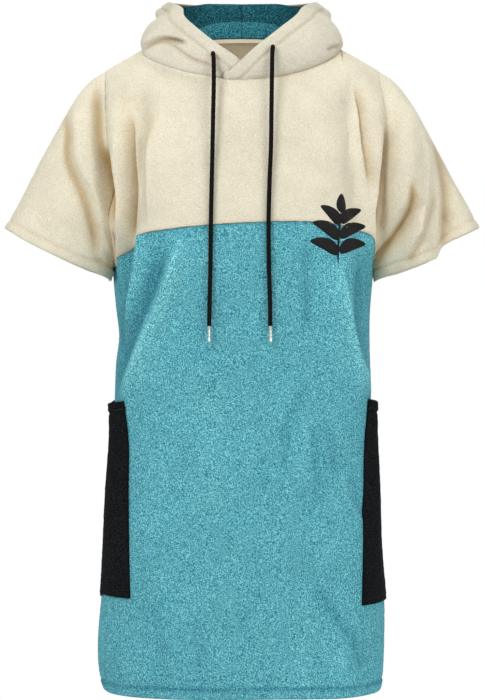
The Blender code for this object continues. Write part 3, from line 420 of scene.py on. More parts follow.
BACK_CREASES = [
    Crease(-0.0080, 0.006, 0.008, [(-0.282, -0.085), (-0.272, -0.150), (-0.260, -0.220), (-0.238, -0.290),
                                   (-0.226, -0.345)]),
    Crease(0.0050, 0.007, 0.012, [(-0.264, -0.080), (-0.254, -0.150), (-0.240, -0.215), (-0.214, -0.275),
                                  (-0.200, -0.310)]),
    Crease(-0.0080, 0.007, 0.006, [(-0.232, -0.045), (-0.225, -0.120), (-0.216, -0.190), (-0.204, -0.270)]),
    Crease(0.0050, 0.0035, 0.010, [(-0.208, -0.040), (-0.204, -0.110), (-0.197, -0.190), (-0.192, -0.280),
                                   (-0.194, -0.370)]),
    Crease(-0.0070, 0.012, 0.004, [(-0.172, -0.080), (-0.165, -0.160), (-0.160, -0.230), (-0.166, -0.330)]),
    Crease(0.0045, 0.003, 0.018, [(-0.164, -0.130), (-0.155, -0.210), (-0.157, -0.290), (-0.172, -0.400),
                                  (-0.184, -0.480)]),
    Crease(0.0065, 0.009, 0.015, [(-0.082, -0.300), (-0.112, -0.390), (-0.150, -0.470), (-0.184, -0.560)]),
    Crease(-0.0075, 0.010, 0.006, [(-0.106, -0.310), (-0.138, -0.400), (-0.168, -0.470), (-0.192, -0.550)]),
    Crease(-0.0070, 0.0045, 0.010, [(0.172, -0.070), (0.180, -0.130), (0.186, -0.190), (0.196, -0.260)]),
    Crease(0.0058, 0.009, 0.0035, [(0.216, -0.035), (0.212, -0.120), (0.206, -0.200), (0.199, -0.270),
                                   (0.202, -0.345)]),
    Crease(-0.0080, 0.0035, 0.010, [(0.221, -0.110), (0.216, -0.180), (0.208, -0.250), (0.207, -0.320)]),
    Crease(-0.0090, 0.006, 0.009, [(0.262, -0.180), (0.252, -0.250), (0.232, -0.300), (0.210, -0.360)]),
    Crease(0.0050, 0.009, 0.008, [(0.290, -0.130), (0.284, -0.230), (0.256, -0.310), (0.238, -0.350)]),
    Crease(0.0065, 0.014, 0.006, [(0.110, -0.310), (0.140, -0.400), (0.166, -0.470), (0.192, -0.560)]),
    Crease(-0.0075, 0.005, 0.010, [(0.134, -0.310), (0.158, -0.400), (0.180, -0.470), (0.198, -0.550)]),
    Crease(-0.0045, 0.012, 0.012, [(0.030, -0.430), (0.048, -0.560), (0.050, -0.700)]),
    Crease(0.0040, 0.022, 0.022, [(0.066, -0.560), (0.078, -0.760), (0.086, -1.020)]),
    Crease(-0.0040, 0.012, 0.012, [(-0.060, -0.500), (-0.048, -0.620), (-0.050, -0.760)]),
    Crease(-0.0045, 0.012, 0.012, [(-0.120, -0.700), (-0.128, -0.860), (-0.140, -1.020)]),
    Crease(0.0040, 0.022, 0.022, [(-0.030, -0.640), (-0.020, -0.820), (-0.024, -1.020)]),
    Crease(-0.0040, 0.012, 0.012, [(0.128, -0.700), (0.140, -0.860), (0.160, -1.010)]),
    Crease(-0.0035, 0.010, 0.010, [(-0.090, -0.060), (-0.112, -0.170), (-0.120, -0.290)]),
    Crease(-0.0035, 0.010, 0.010, [(0.095, -0.060), (0.118, -0.160), (0.124, -0.280)]),
]


def ease(values):
    """0 below 0, 1 above 1 and a soft step between them."""
    values = np.clip(values, 0.0, 1.0)
    return values * values * (3 - 2 * values)


def crease_rise(creases, x, z):
    """How far the creases lift points at x, z, and the depth of all their troughs there."""
    total, trough = np.zeros(len(x)), np.zeros(len(x))
    for crease in creases:
        stops = [(east, 0, up) for east, up in crease.line]
        line = np.array(smooth_path(stops, CREASE_STEPS * len(stops)))[:, [0, 2]]
        margin = CREASE_MARGIN * max(crease.low, crease.high)
        near = ((x > line[:, 0].min() - margin) & (x < line[:, 0].max() + margin)
                & (z > line[:, 1].min() - margin) & (z < line[:, 1].max() + margin)).nonzero()[0]
        off = np.full(len(near), 1.0)
        side, share = np.zeros(len(near)), np.zeros(len(near))
        lengths = np.linalg.norm(np.diff(line, axis=0), axis=1)
        run = np.concatenate(([0.0], np.cumsum(lengths)))
        for number, size in enumerate(lengths):
            step_x, step_z = (line[number + 1] - line[number]) / size
            past_x, past_z = x[near] - line[number, 0], z[near] - line[number, 1]
            along = np.clip(past_x * step_x + past_z * step_z, 0, size)
            gap = np.hypot(past_x - along * step_x, past_z - along * step_z)
            closer = gap < off
            off = np.where(closer, gap, off)
            side = np.where(closer, step_x * past_z - step_z * past_x, side)
            share = np.where(closer, (run[number] + along) / run[-1], share)
        width = np.where(side > 0, crease.high, crease.low)
        ends = ease(share / CREASE_ENDS) * ease((1 - share) / CREASE_ENDS)
        rise = crease.rise * ends * np.exp(-(off / width) ** CREASE_FALL)
        total[near] += rise
        if crease.rise < 0:
            trough[near] -= rise
    return total, trough


def drape(points):
    """How the hung cloth's creases and soft waves move points, and how deep in a crease they lie."""
    x, y, z = points.T
    rise, trough = np.zeros(len(points)), np.zeros(len(points))
    for creases, chosen in ((FRONT_CREASES, y < 0), (BACK_CREASES, y >= 0)):
        rise[chosen], trough[chosen] = crease_rise(creases, x[chosen], z[chosen])
    fade = ease(np.abs(y) / SIDE_FADE)
    waves = np.array([noise.noise((east * SAG_SIZE, north * SAG_SIZE, up * SAG_SIZE * SAG_DROP))
                      for east, north, up in points])
    across = FOLD_LEAN * (1 - ease((np.abs(x) - BODY_HALF) / BODY_FADE))
    out = np.stack([x * across, y, np.zeros(len(x))], axis=1)
    out /= np.linalg.norm(out, axis=1, keepdims=True) + 1e-9
    return out * (rise * fade + waves * SAG)[:, None], trough * fade


def cloth_work(node):
    """A smooth, finely divided copy of a node's wall."""
    mesh = bpy.data.meshes.new(node + "_cage")
    work = bmesh.new()
    work.from_mesh(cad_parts[node].data)
    bmesh.ops.remove_doubles(work, verts=work.verts, dist=MERGE)
    bmesh.ops.join_triangles(work, faces=work.faces, angle_face_threshold=RIM_ANGLE,
                             angle_shape_threshold=PANEL_ANGLE)
    crease = work.edges.layers.float.new("crease_edge")
    for edge in work.edges:
        if edge.calc_face_angle(0.0) > RIM_ANGLE:
            edge[crease] = 1.0
    work.to_mesh(mesh)
    work.free()
    cage = bpy.data.objects.new(node + "_cage", mesh)
    bpy.context.scene.collection.objects.link(cage)
    smooth = cage.modifiers.new("smooth", "SUBSURF")
    smooth.levels = smooth.render_levels = SUBDIVISIONS
    smooth.use_limit_surface = False
    bpy.context.view_layer.update()
    fine = bpy.data.meshes.new_from_object(cage.evaluated_get(bpy.context.evaluated_depsgraph_get()))
    bpy.data.objects.remove(cage)
    work = bmesh.new()
    work.from_mesh(fine)
    bpy.data.meshes.remove(fine)
    return work


def face_sides(work):
    """The wall's faces in groups that its cut edges part, the largest group first."""
    rims = {edge for edge in work.edges if edge.calc_face_angle(0.0) > RIM_ANGLE}
    groups = []
    waiting = set(work.faces)
    while waiting:
        group = {waiting.pop()}
        front = list(group)
        while front:
            face = front.pop()
            for edge in face.edges:
                if edge in rims:
                    continue
                for beside in edge.link_faces:
                    if beside in waiting:
                        waiting.remove(beside)
                        group.add(beside)
                        front.append(beside)
        groups.append(group)
    return sorted(groups, key=lambda group: -sum(face.calc_area() for face in group))


def nearest_rim(verts, rims):
    """How far each vertex is from a list of rim points, and the depth of seam at the nearest one."""
    if not rims:
        return np.full(len(verts), 1.0), np.zeros(len(verts))
    tree = kdtree.KDTree(len(rims))
    for number, (point, _) in enumerate(rims):
        tree.insert(point, number)
    tree.balance()
    found = [tree.find(vert.co) for vert in verts]
    return (np.array([away for point, number, away in found]),
            np.array([rims[number][1] for point, number, away in found]))


def smooth_once(work, verts):
    """Moves points half-way to the middle of the points round them."""
    bmesh.ops.smooth_vert(work, verts=verts, factor=0.5,
                          use_axis_x=True, use_axis_y=True, use_axis_z=True)


def soften(work, side):
    """Smooths kinks out of the seen side and a little out of the other; only ROUNDED places move a rim."""
    seen = {vert for face in side for vert in face.verts}
    sharp = {vert for edge in work.edges if edge.calc_face_angle(0.0) > RIM_ANGLE for vert in edge.verts}
    before = {vert: vert.co.copy() for vert in work.verts}
    for rounds, group in ((SOFTEN_ROUNDS, seen - sharp), (1, set(work.verts) - seen - sharp)):
        group = [vert for vert in work.verts if vert in group]
        for _ in range(rounds):
            smooth_once(work, group)
    for vert, start in before.items():
        move = vert.co - start
        if move.length > SOFTEN_MOST:
            vert.co = start + move.normalized() * SOFTEN_MOST
    for middle, radius, rounds in ROUNDED:
        near = [vert for vert in work.verts if (vert.co - Vector(middle)).length < radius]
        near_seen = [vert for vert in near if vert in seen]
        for number in range(rounds if near else 0):
            smooth_once(work, near_seen if number % HIDDEN_SHARE else near)


def divide(work, on_side, finest):
    """Divides the marked side until no edge of it is longer than finest; gives its faces and edges."""
    while True:
        side = [face for face in work.faces if face[on_side]]
        edges = {edge for face in side for edge in face.edges}
        long = [edge for edge in edges if edge.calc_length() > finest]
        if not long:
            return side, edges
        bmesh.ops.subdivide_edges(work, edges=long, cuts=1, use_grid_fill=True)


surfaces = {}
stitch_lines = {}


def dress(node, name, material, seam, hem=None, hem_depth=0.0, shape=None, seen_side=0,
          finest=FINEST, hem_shade=0.20):
    """Makes the cloth of a node.

    seam gives how deeply the cloth dips at a point of its rim, hem says by a point and by the way that
    the rim runs there whether it is hemmed, and shape moves the points before the drape does.  The seen
    side of the wall is divided finely, dips into its seams, swells at its hems and has the lumps of the
    pile.  hem_shade is how dark the painted shade in the groove at a hem's stitches is.  One attribute of
    the points is how deep in a crease or seam a point lies, for the painted shade there, and another is how
    high on a fold it lies, for the painted highlight on its crest; the unseen side gets an even painted
    shade.
    """
    work = cloth_work(node)
    on_side = work.faces.layers.int.new("side")
    fold_shade = work.verts.layers.float.new("fold_shade")
    crest_highlight = work.verts.layers.float.new("crest_highlight")
    for face in face_sides(work)[seen_side]:
        face[on_side] = 1
    side, edges = divide(work, on_side, finest)
    work.normal_update()
    seams, hems, hem_edges = [], [], []
    closing = {}
    for edge in edges:
        if all(face[on_side] for face in edge.link_faces):
            continue
        near, far = edge.verts
        if hem and hem((near.co + far.co) / 2, (far.co - near.co).normalized()):
            hem_edges.append(edge)
            hems.extend((vert.co.copy(), 1.0) for vert in edge.verts)
            continue
        for vert in edge.verts:
            seams.append((vert.co.copy(), seam(vert.co)))
            inner = [link.other_vert(vert).co for link in vert.link_edges
                     if all(face[on_side] for face in link.link_faces)]
            if inner:
                outward = (vert.co - sum(inner, Vector()) / len(inner)).normalized()
                closing[vert] = outward * (SEAM_CLOSE if seams[-1][1] > SEAM_SHOWS else QUIET_CLOSE)
    seen = list({vert for face in side for vert in face.verts})
    soften(work, side)
    seam_off, seam_strength = nearest_rim(seen, seams)
    hem_off, _ = nearest_rim(seen, hems)
    starts = np.array([vert.co for vert in work.verts])
    moved = shape(starts) if shape else starts
    moves, trough = drape(moved)
    rise = np.einsum("ij,ij->i", moves, moves) ** 0.5 * np.sign(moves[:, 1] * starts[:, 1])
    # a point's depth in a crease is kept for the painted shade there, and its height on a fold for the
    # painted highlight
    for vert, place, deep, high in zip(work.verts, moved + moves, trough, rise):
        vert.co = place
        vert[fold_shade] = min(deep / FULL_FOLD, 1.0)
        vert[crest_highlight] = min(max(high / FULL_FOLD, 0.0), 1.0)
    for vert, shift in closing.items():
        vert.co += shift
    work.normal_update()
    lumps = np.array([PILE_MEAN + PILE_SWING * noise.noise(vert.co * PILE_FINE)
                      + PILE_SWING * noise.noise(vert.co * PILE_COARSE) for vert in seen])
    dip = seam_strength * (1 - ease(seam_off / SEAM_REACH))
    groove = np.exp(-((hem_off - hem_depth) / HEM_GROOVE) ** 2)
    swell = HEM_SWELL * (1 - ease((hem_off - hem_depth) / HEM_STEP))
    push = PILE * lumps * (1 - groove) - SEAM_DIP * dip + swell - HEM_SWELL * GROOVE_DEPTH * groove
    push *= np.where(seam_strength > SEAM_SHOWS, np.clip(seam_off / RIM_RAMP, 0, 1), 1.0)
    push *= np.clip(hem_off / RIM_RAMP, 0, 1)
    # painted shade at the bottoms of the seams and in the hems' grooves
    shade = SEAM_SHADE * dip ** 2 + hem_shade * groove
    for vert, height, dark in zip(seen, push, shade):
        vert.co += vert.normal * height
        vert[fold_shade] = min(vert[fold_shade] + dark, 1.0)
    # painted shade: the unseen side is darkened evenly
    for vert in set(work.verts).difference(seen):
        vert[fold_shade] = HIDDEN_SHADE
    surfaces[name] = BVHTree.FromBMesh(work)
    stitch_lines[name] = rim_walks(hem_edges, surfaces[name], hem_depth)
    piece = new_piece(name, work, material)
    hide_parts(node)
    return piece


def rim_walks(edges, surface, depth):
    """Rows of (place, normal) on the cloth, each row the same way in from a hemmed rim."""
    links = {}
    for edge in edges:
        for vert in edge.verts:
            links.setdefault(vert, []).append(edge.other_vert(vert))
    rows = []
    waiting = set(links)
    while waiting:
        ends = [vert for vert in waiting if len(links[vert]) == 1]
        vert = min(ends or waiting, key=lambda point: point.index)
        walk = [vert]
        waiting.discard(vert)
        while True:
            onward = [other for other in links[walk[-1]] if other in waiting]
            if not onward:
                break
            walk.append(onward[0])
            waiting.discard(onward[0])
        row = []
        for near, vert, far in zip(walk, walk[1:], walk[2:]):
            along = (far.co - near.co).normalized()
            inner = [link.other_vert(vert).co - vert.co for link in vert.link_edges
                     if link.other_vert(vert) not in links]
            inner = [way - along * way.dot(along) for way in inner]
            if not inner:
                continue
            inward = max(inner, key=lambda way: way.length).normalized()
            place, normal, _, _ = surface.find_nearest(vert.co + inward * depth)
            row.append((place, normal))
        rows.append(row)
    return rows


STITCH = 0.0030             # one machine stitch, and the cloth between two of them
STITCH_GAP = 0.0012
THREAD = 0.00035            # half the thickness of the thread
THREAD_FLAT = 1.1           # how much wider than thick a stitch lies
ROW_BREAK = 0.02            # a row of stitches is not carried over a wider step than this


def sew(name, rows, material):
    """Puts a row of machine stitches along each row of (place, normal) on the cloth."""
    work = bmesh.new()
    for row in rows:
        carried = 0.0
        for (near, normal), (far, _) in zip(row, row[1:]):
            length = (far - near).length
            if length > ROW_BREAK:
                continue
            while carried < length:
                middle = near.lerp(far, carried / length)
                along = (far - near).normalized()
                side = normal.cross(along).normalized()
                turn = Matrix((along, side, normal)).transposed().to_4x4()
                size = Matrix.Diagonal((STITCH / 2, THREAD * THREAD_FLAT, THREAD, 1))
                bmesh.ops.create_uvsphere(work, u_segments=6, v_segments=4, radius=1.0,
                                          matrix=Matrix.Translation(middle + normal * THREAD * 0.5)
                                          @ turn @ size)
                carried += STITCH + STITCH_GAP
            carried -= length
    return new_piece(name, work, material)


def blend(tree, kind, share, low, high):
    """Mixes two colours, where each of share, low and high is a socket or a value."""
    mix = tree.nodes.new("ShaderNodeMix")
    mix.data_type = "RGBA"
    mix.blend_type = kind
    for name, value in (("Factor", share), ("A", low), ("B", high)):
        socket = mix.inputs[name] if name == "Factor" else [item for item in mix.inputs
                                                            if item.name == name and item.type == "RGBA"][0]
        if isinstance(value, bpy.types.NodeSocket):
            tree.links.new(value, socket)
        else:
            socket.default_value = value if name == "Factor" else (*value, 1)
    return [item for item in mix.outputs if item.type == "RGBA"][0]


def attribute(tree, name):
    """The value of a named attribute."""
    node = tree.nodes.new("ShaderNodeAttribute")
    node.attribute_name = name
    return node.outputs["Fac"]


LOOP_SCALE = 620            # of the noises for the loops' speckle, for their bumps and for broad patches
LOOP_BUMP_SCALE = 480
PATCH_SCALE = 14
LOOP_HEIGHT = 0.0022


def terry(name, dark, middle, light, shade, painted_highlight, sheen, bump=0.8):
    """Looped cotton: speckled by its loops, with painted shade deeper in its folds and a painted highlight
    paler on their crests, and matt.
    """
    material, tree, shader = plain_material(name, middle, 1.0)
    loops = object_noise(tree, LOOP_SCALE, 2.0, 0.6)
    tree.nodes[-1].inputs["Distortion"].default_value = 0.3
    pile = blend_colours(tree, loops, [(0.39, dark), (0.62, light), (0.50, middle)])
    patches = blend_colours(tree, object_noise(tree, PATCH_SCALE, 4, 0.65),
                            [(0.3, (0.92, 0.92, 0.92)), (0.7, (1.06, 1.06, 1.06))])
    mottled = blend(tree, "MULTIPLY", 1.0, pile, patches)
    # painted highlight: paler by how high a point lies on a fold
    high = blend(tree, "MULTIPLY", attribute(tree, "crest_highlight"), mottled, painted_highlight)
    # painted shade: darker by how deep a point lies in a crease or seam, and on the unseen side
    deep = blend(tree, "MULTIPLY", attribute(tree, "fold_shade"), high, shade)
    tree.links.new(deep, shader.inputs["Base Color"])
    shader.inputs["Sheen Weight"].default_value = sheen
    shader.inputs["Sheen Roughness"].default_value = 0.5
    shader.inputs["Sheen Tint"].default_value = (*light, 1)
    shader.inputs["Specular IOR Level"].default_value = 0.08
    add_bump(tree, shader, object_noise(tree, LOOP_BUMP_SCALE, 3, 0.7), bump, LOOP_HEIGHT)
    return material


# which seam a point of a cream piece's rim is on
COLOUR_SEAM_HIGH = -0.270   # below this height, and this near to the middle, it is the colour seam
COLOUR_SEAM_HALF = 0.195
SHOULDER_SEAM_LOW = -0.20   # above this height, at the garment's mid depth, it is the shoulder seam
SHOULDER_SEAM_DEPTH = 0.004
NECK_SEAM_HIGH = -0.064     # above this height, and this near to the middle, it is the neck seam
NECK_SEAM_HALF = 0.165
NECK_QUIET = -0.02          # at the front, to the wearer's right of this, the pile closes over that seam


def neck_seam(point):
    """How deeply the cloth dips at a point of the neck seam."""
    return 0.0 if point.x < NECK_QUIET and point.y < 0 else 0.55


def cream_seam(point):
    """How deeply the cream cloth dips at a point of its rim: least round the armholes."""
    if point.z < COLOUR_SEAM_HIGH and abs(point.x) < COLOUR_SEAM_HALF:
        return 1.0
    if abs(point.y) < SHOULDER_SEAM_DEPTH and point.z > SHOULDER_SEAM_LOW:
        return 0.35
    if point.z > NECK_SEAM_HIGH and abs(point.x) < NECK_SEAM_HALF:
        return neck_seam(point)
    return 0.12


CREAM_SHADE = (0.62, 0.46, 0.25)    # painted shade: what the cream is multiplied by at the bottom of a fold
CREAM_PAINTED_HIGHLIGHT = (1.01, 1.01, 1.02)     # and, as a painted highlight, on its crest
cream_terry = terry("cream terry", dark=(0.640, 0.582, 0.437), middle=(0.723, 0.671, 0.524),
                    light=(0.781, 0.739, 0.597), shade=CREAM_SHADE, painted_highlight=CREAM_PAINTED_HIGHLIGHT, sheen=0.08, bump=0.45)
front_yoke = dress("front_yoke", "front_yoke_cloth", cream_terry, cream_seam)
back_yoke = dress("back_yoke", "back_yoke_cloth", cream_terry, cream_seam, finest=COARSER)

# ------------------------------------------------------------------ sleeves
# Wide short drop sleeves of cream terry, each one piece with a seam under the arm.  They are sewn round
# the armholes, and their cuffs are turned up and stitched.
SLEEVE_FINEST = 0.0033      # longest edge on the face side of a sleeve
ARMHOLE_ACROSS = 0.214      # below this height and past this distance a sleeve's rim is its cuff
CUFF_HIGH = -0.215
CUFF_DEPTH = 0.014
CUFF_FADE = 0.070           # over which height the changes to the cuff come in
# two distances from the middle of the garment, and how far down the changes start there
CUFF_START = ((0.205, 0.250), (0.290, 0.200))
CUFF_ACROSS = 0.006         # how far the lower end of the cuff lies in towards the body
CUFF_LOW_END = 0.250        # nearer to the middle than this is the lower end
CUFF_LOW_FADE = 0.030
# how far the cuff rides up at a distance from the middle of the garment
CUFF_LIFT = {RIGHT: [(0.200, 0.0105), (0.235, 0.0095), (0.270, 0.0055), (0.330, 0.0)],
             LEFT: [(0.200, 0.0070), (0.235, 0.0060), (0.268, 0.0010), (0.299, -0.0035), (0.309, 0.0100),
                    (0.335, 0.0085), (0.372, 0.0)]}


def cuff_shape(points):
    """Lifts the cuffs, and brings their lower ends in to the body."""
    moved = points.copy()
    for side, lifts in CUFF_LIFT.items():
        chosen = points[:, 0] * side > 0
        across = points[chosen, 0] * side
        away, lift = zip(*lifts)
        start = np.interp(across, *CUFF_START)
        near_cuff = ease((-points[chosen, 2] - start) / CUFF_FADE)
        low_end = ease((CUFF_LOW_END - across) / CUFF_LOW_FADE)
        moved[chosen, 2] += np.interp(across, away, lift) * near_cuff
        moved[chosen, 0] -= side * CUFF_ACROSS * near_cuff * low_end
    return moved


def cuff_rim(point, along):
    """Whether a point of a sleeve's rim is on the cuff."""
    return point.z < CUFF_HIGH and abs(point.x) > ARMHOLE_ACROSS


TWIST_SCALE = 4000          # of the noise for the twist of the thread
TWIST_HEIGHT = 0.0002


def sewing_thread(name, colour, roughness):
    """Sewing thread in one colour, with the fine bumps of its twist."""
    material, tree, shader = plain_material(name, colour, roughness)
    add_bump(tree, shader, object_noise(tree, TWIST_SCALE), 0.4, TWIST_HEIGHT)
    return material


cream_thread = sewing_thread("cream sewing thread", (0.74, 0.66, 0.47), 0.7)
for side, end in SIDES:
    name = "sleeve_cloth_" + end
    sleeve = dress("sleeve_" + end, name, cream_terry, cream_seam, cuff_rim, CUFF_DEPTH,
                   cuff_shape, finest=SLEEVE_FINEST)
    sew("cuff_stitches_" + end, stitch_lines[name], cream_thread)

# ------------------------------------------------------------------ hood
# Two outer halves of cream terry and two of teal lining, sewn round the neck and down the middle of the
# back.  The hood lies back, open like a bag, and its left front laps over its right one.
CASING_DEPTH = 0.020        # the drawcord's casing, from the hood's opening to its stitches
MIDDLE_SEAM = 0.003         # a rim nearer to the middle than this, and this far back, is on the back seam
MIDDLE_SEAM_BACK = 0.05
# a rim above this height at the garment's mid depth is the opening's, and the height rises by so much
# for each metre further back, before the mid depth and behind it
OPENING_LOW = 0.035
OPENING_RISE_FRONT, OPENING_RISE_BACK = 0.856, 0.3
# how far the hood is taken in on each side, at which height, and past which distance from the middle
HOOD_TAKE_IN = {RIGHT: 0.0120, LEFT: 0.0080}
TAKE_IN_HEIGHT = 0.064
TAKE_IN_SPAN = 0.013
TAKE_IN_ACROSS = 0.055
HOOD_FINEST = 0.0025        # longest edge on the face side of the hood
LINING_LIFT = 0.0055        # how far the lining's pile stands over the opening's edge behind the neck
LINING_LEAN = 0.60          # how far it leans in over the opening for each metre of that
# the height and the depth at which the lift starts to come in, and the distance from the middle at which
# it starts to go, each with the span over which it does
LIFT_HEIGHT, LIFT_HEIGHT_SPAN = 0.070, 0.020
LIFT_BACK, LIFT_BACK_SPAN = 0.020, 0.050
LIFT_ACROSS, LIFT_ACROSS_SPAN = 0.055, 0.040
OPENING_MIDDLE = (0.0, 0.05)        # the point that the lining leans in to


def casing_rim(point, along):
    """Whether a point of the hood's rim is on its opening, not on the neck or the middle seam."""
    rise = OPENING_RISE_FRONT if point.y < 0 else OPENING_RISE_BACK
    return abs(point.x) > MIDDLE_SEAM and point.z > OPENING_LOW + point.y * rise


def hood_shape(points):
    """Takes the hood in a little on both sides above the shoulders."""
    moved = points.copy()
    for side, take in HOOD_TAKE_IN.items():
        chosen = points[:, 0] * side > 0
        level = np.exp(-((points[chosen, 2] - TAKE_IN_HEIGHT) / TAKE_IN_SPAN) ** 2)
        out = ease((points[chosen, 0] * side - TAKE_IN_ACROSS) / TAKE_IN_ACROSS)
        moved[chosen, 0] -= side * take * level * out
    return moved


def lining_shape(points):
    """Takes the lining in with the hood, and lifts its edge behind the neck."""
    moved = hood_shape(points)
    lift = LINING_LIFT * ease((points[:, 2] - LIFT_HEIGHT) / LIFT_HEIGHT_SPAN)
    lift *= ease((points[:, 1] - LIFT_BACK) / LIFT_BACK_SPAN)
    lift *= 1 - ease((np.abs(points[:, 0]) - LIFT_ACROSS) / LIFT_ACROSS_SPAN)
    inward = np.array(OPENING_MIDDLE) - points[:, :2]
    inward /= np.linalg.norm(inward, axis=1, keepdims=True)
    moved[:, 2] += lift
    moved[:, :2] += inward * (lift * LINING_LEAN)[:, None]
    return moved


def on_middle_seam(point):
    """Whether a point of the hood's rim is on the seam down the middle of its back."""
    return abs(point.x) < MIDDLE_SEAM and point.y > MIDDLE_SEAM_BACK


def lining_seam(point):
    """How deeply the lining dips at a point of its rim."""
    return 0.3 if on_middle_seam(point) else 0.55


def hood_seam(point):
    """How deeply the hood dips at a point of its rim."""
    return 1.0 if on_middle_seam(point) else neck_seam(point)


teal_lining = terry("teal lining terry", dark=(0.003, 0.045, 0.068), middle=(0.018, 0.135, 0.172),
                    light=(0.080, 0.350, 0.410), shade=(0.40, 0.52, 0.56), painted_highlight=(1.3, 1.3, 1.3),
                    sheen=0.05, bump=1.0)
# the yokes' cream cloth painted a little deeper in colour, a painted shade, as the hood lies up to the light
shaded_hood_terry = terry("shaded cream hood terry", dark=(0.560, 0.520, 0.405), middle=(0.635, 0.600, 0.485),
                   light=(0.690, 0.660, 0.550), shade=CREAM_SHADE, painted_highlight=CREAM_PAINTED_HIGHLIGHT, sheen=0.08, bump=0.45)
for side, end in SIDES:
    name = "hood_cloth_" + end
    half = dress("hood_" + end, name, shaded_hood_terry, hood_seam, casing_rim, CASING_DEPTH,
                 hood_shape, finest=HOOD_FINEST)
    sew("casing_stitches_" + end, stitch_lines[name], cream_thread)
    lining = dress("hood_lining_" + end, "hood_lining_cloth_" + end, teal_lining,
                   lining_seam, shape=lining_shape, seen_side=1, finest=COARSER)

# ------------------------------------------------------------------ neck tape
# A flat woven cotton tape, seen as a pale line inside the neck.  It is sewn over the back of the neck
# seam, where the hood joins the yoke, and covers the cut edges there.
tape_cotton, tree, shader = plain_material("cream neck tape", (0.72, 0.66, 0.52), 0.9)
tree.links.new(blend_colours(tree, object_noise(tree, 900), [(0.3, (0.62, 0.55, 0.41)),
                                                             (0.7, (0.76, 0.70, 0.56))]),
               shader.inputs["Base Color"])
add_bump(tree, shader, object_noise(tree, 1500, 2), 0.4, 0.0004)
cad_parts["neck_tape"].data.materials.clear()
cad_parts["neck_tape"].data.materials.append(tape_cotton)

# ------------------------------------------------------------------ cord eyelets
# Each cord leaves the casing through a small round hole in the hood's outer cloth.  The hole is worked
# like a buttonhole: its edge is sewn over all round with cream thread.
EYELET_RADIUS = 0.0049
EYELET_BARS = 22
BAR_SIZE = (0.0016, 0.00062, 0.0007)    # half the length, width and height of one overcast stitch
BAR_RISE = 0.0004           # how far its middle stands above the cloth
for side, end in SIDES:
    surface = surfaces["hood_cloth_" + end]
    place, normal, _, _ = surface.find_nearest(Vector(CORD_ROUTE[side][0]))
    turn = normal.to_track_quat("Z", "Y").to_matrix().to_4x4()
    work = bmesh.new()
    for bar in range(EYELET_BARS):
        spoke = Matrix.Rotation(math.tau * bar / EYELET_BARS, 4, "Z")
        bmesh.ops.create_uvsphere(work, u_segments=8, v_segments=6, radius=1.0,
                                  matrix=Matrix.Translation(place) @ turn @ spoke
                                  @ Matrix.Translation((EYELET_RADIUS, 0, BAR_RISE))
                                  @ Matrix.Diagonal((*BAR_SIZE, 1)))
    new_piece("cord_eyelet_" + end, work, cream_thread)

# ------------------------------------------------------------------ teal body
# The lower front and back, cut from mid teal terry and sewn together down the sides.  The colour seam
# joins them to the yokes, and the bottom is turned up and stitched to a hem.
HEM_DEPTH = 0.016
HEM_SHADE = 0.9             # how dark the painted shade in the groove at the hem's stitches is
HEM_HIGH = -0.940           # below this height a rim that runs across, and not down, is the hem
HEM_STEEPEST = 0.8
COLOUR_SEAM_LOW = -0.345    # above this height a teal rim is on the colour seam
FRONT_FINEST = 0.0034       # longest edges on the face sides of the front and the back
BACK_FINEST = 0.0044
teal_terry = terry("teal terry", dark=(0.018, 0.180, 0.245), middle=(0.085, 0.368, 0.448),
                   light=(0.255, 0.675, 0.738), shade=(0.42, 0.56, 0.63), painted_highlight=(1.65, 1.36, 1.28),
                   sheen=0.05)


def body_hem(point, along):
    """Whether a point of a lower panel's rim is on its hem and not on the side seam that meets it."""
    return point.z < HEM_HIGH and abs(along.z) < HEM_STEEPEST


def body_seam(point):
    """How deeply the teal cloth dips at a point of its rim: more at the colour seam than at the sides."""
    return 1.0 if point.z > COLOUR_SEAM_LOW else 0.6


teal_thread = sewing_thread("teal sewing thread", (0.045, 0.230, 0.290), 0.7)
front_body = dress("front_body", "front_body_cloth", teal_terry, body_seam, body_hem,
                   HEM_DEPTH, finest=FRONT_FINEST, hem_shade=HEM_SHADE)
back_body = dress("back_body", "back_body_cloth", teal_terry, body_seam, body_hem,
                  HEM_DEPTH, finest=BACK_FINEST, hem_shade=HEM_SHADE)
for name in ("front_body", "back_body"):
    sew(name + "_hem_stitches", stitch_lines[name + "_cloth"], teal_thread)

# ------------------------------------------------------------------ pockets
# Patches of black terry that wrap the side seams.  They are sewn on along the front, the back and the
# bottom, and are open at the top, which is turned down and stitched.
POCKET_TOP = -0.550
POCKET_BOTTOM = -0.847
# how far the front edge of a pocket is cut towards the middle, at its top and at its bottom
POCKET_SLANT = {"left": (-0.0180, 0.0340), "right": (-0.0150, 0.0165)}
POCKET_RISE = {"left": -0.0030, "right": 0.0075}      # how far its lower front corner is cut higher
SLANT_FRONT, SLANT_SPAN = 0.012, 0.045      # how far forward the slant starts, and over which span
RISE_SPAN = 0.060           # how far forward the corner is raised in full
POCKET_HEM = 0.016
POCKET_HEM_LOW = -0.562     # above this height a rim that runs across, and not down, is the open top
POCKET_HEM_STEEPEST = 0.7
black_terry = terry("black terry", dark=(0.001, 0.0015, 0.002), middle=(0.0055, 0.0070, 0.0080),
                    light=(0.020, 0.023, 0.025), shade=(0.5, 0.5, 0.5), painted_highlight=(1.6, 1.6, 1.6), sheen=0.0)
black_thread = sewing_thread("black sewing thread", (0.012, 0.014, 0.016), 0.6)
wall = cloth_work("front_body")
inside = [face for side in face_sides(wall)[1:] for face in side]
bmesh.ops.delete(wall, geom=inside, context="FACES")
front_wall = BVHTree.FromBMesh(wall)
wall.free()


def pocket_hem(point, along):
    """Whether a point of a pocket's rim is on its open top."""
    return point.z > POCKET_HEM_LOW and abs(along.z) < POCKET_HEM_STEEPEST


def pocket_seam(point):
    """How deeply the pocket dips at its rim: alike all round."""
    return 0.8


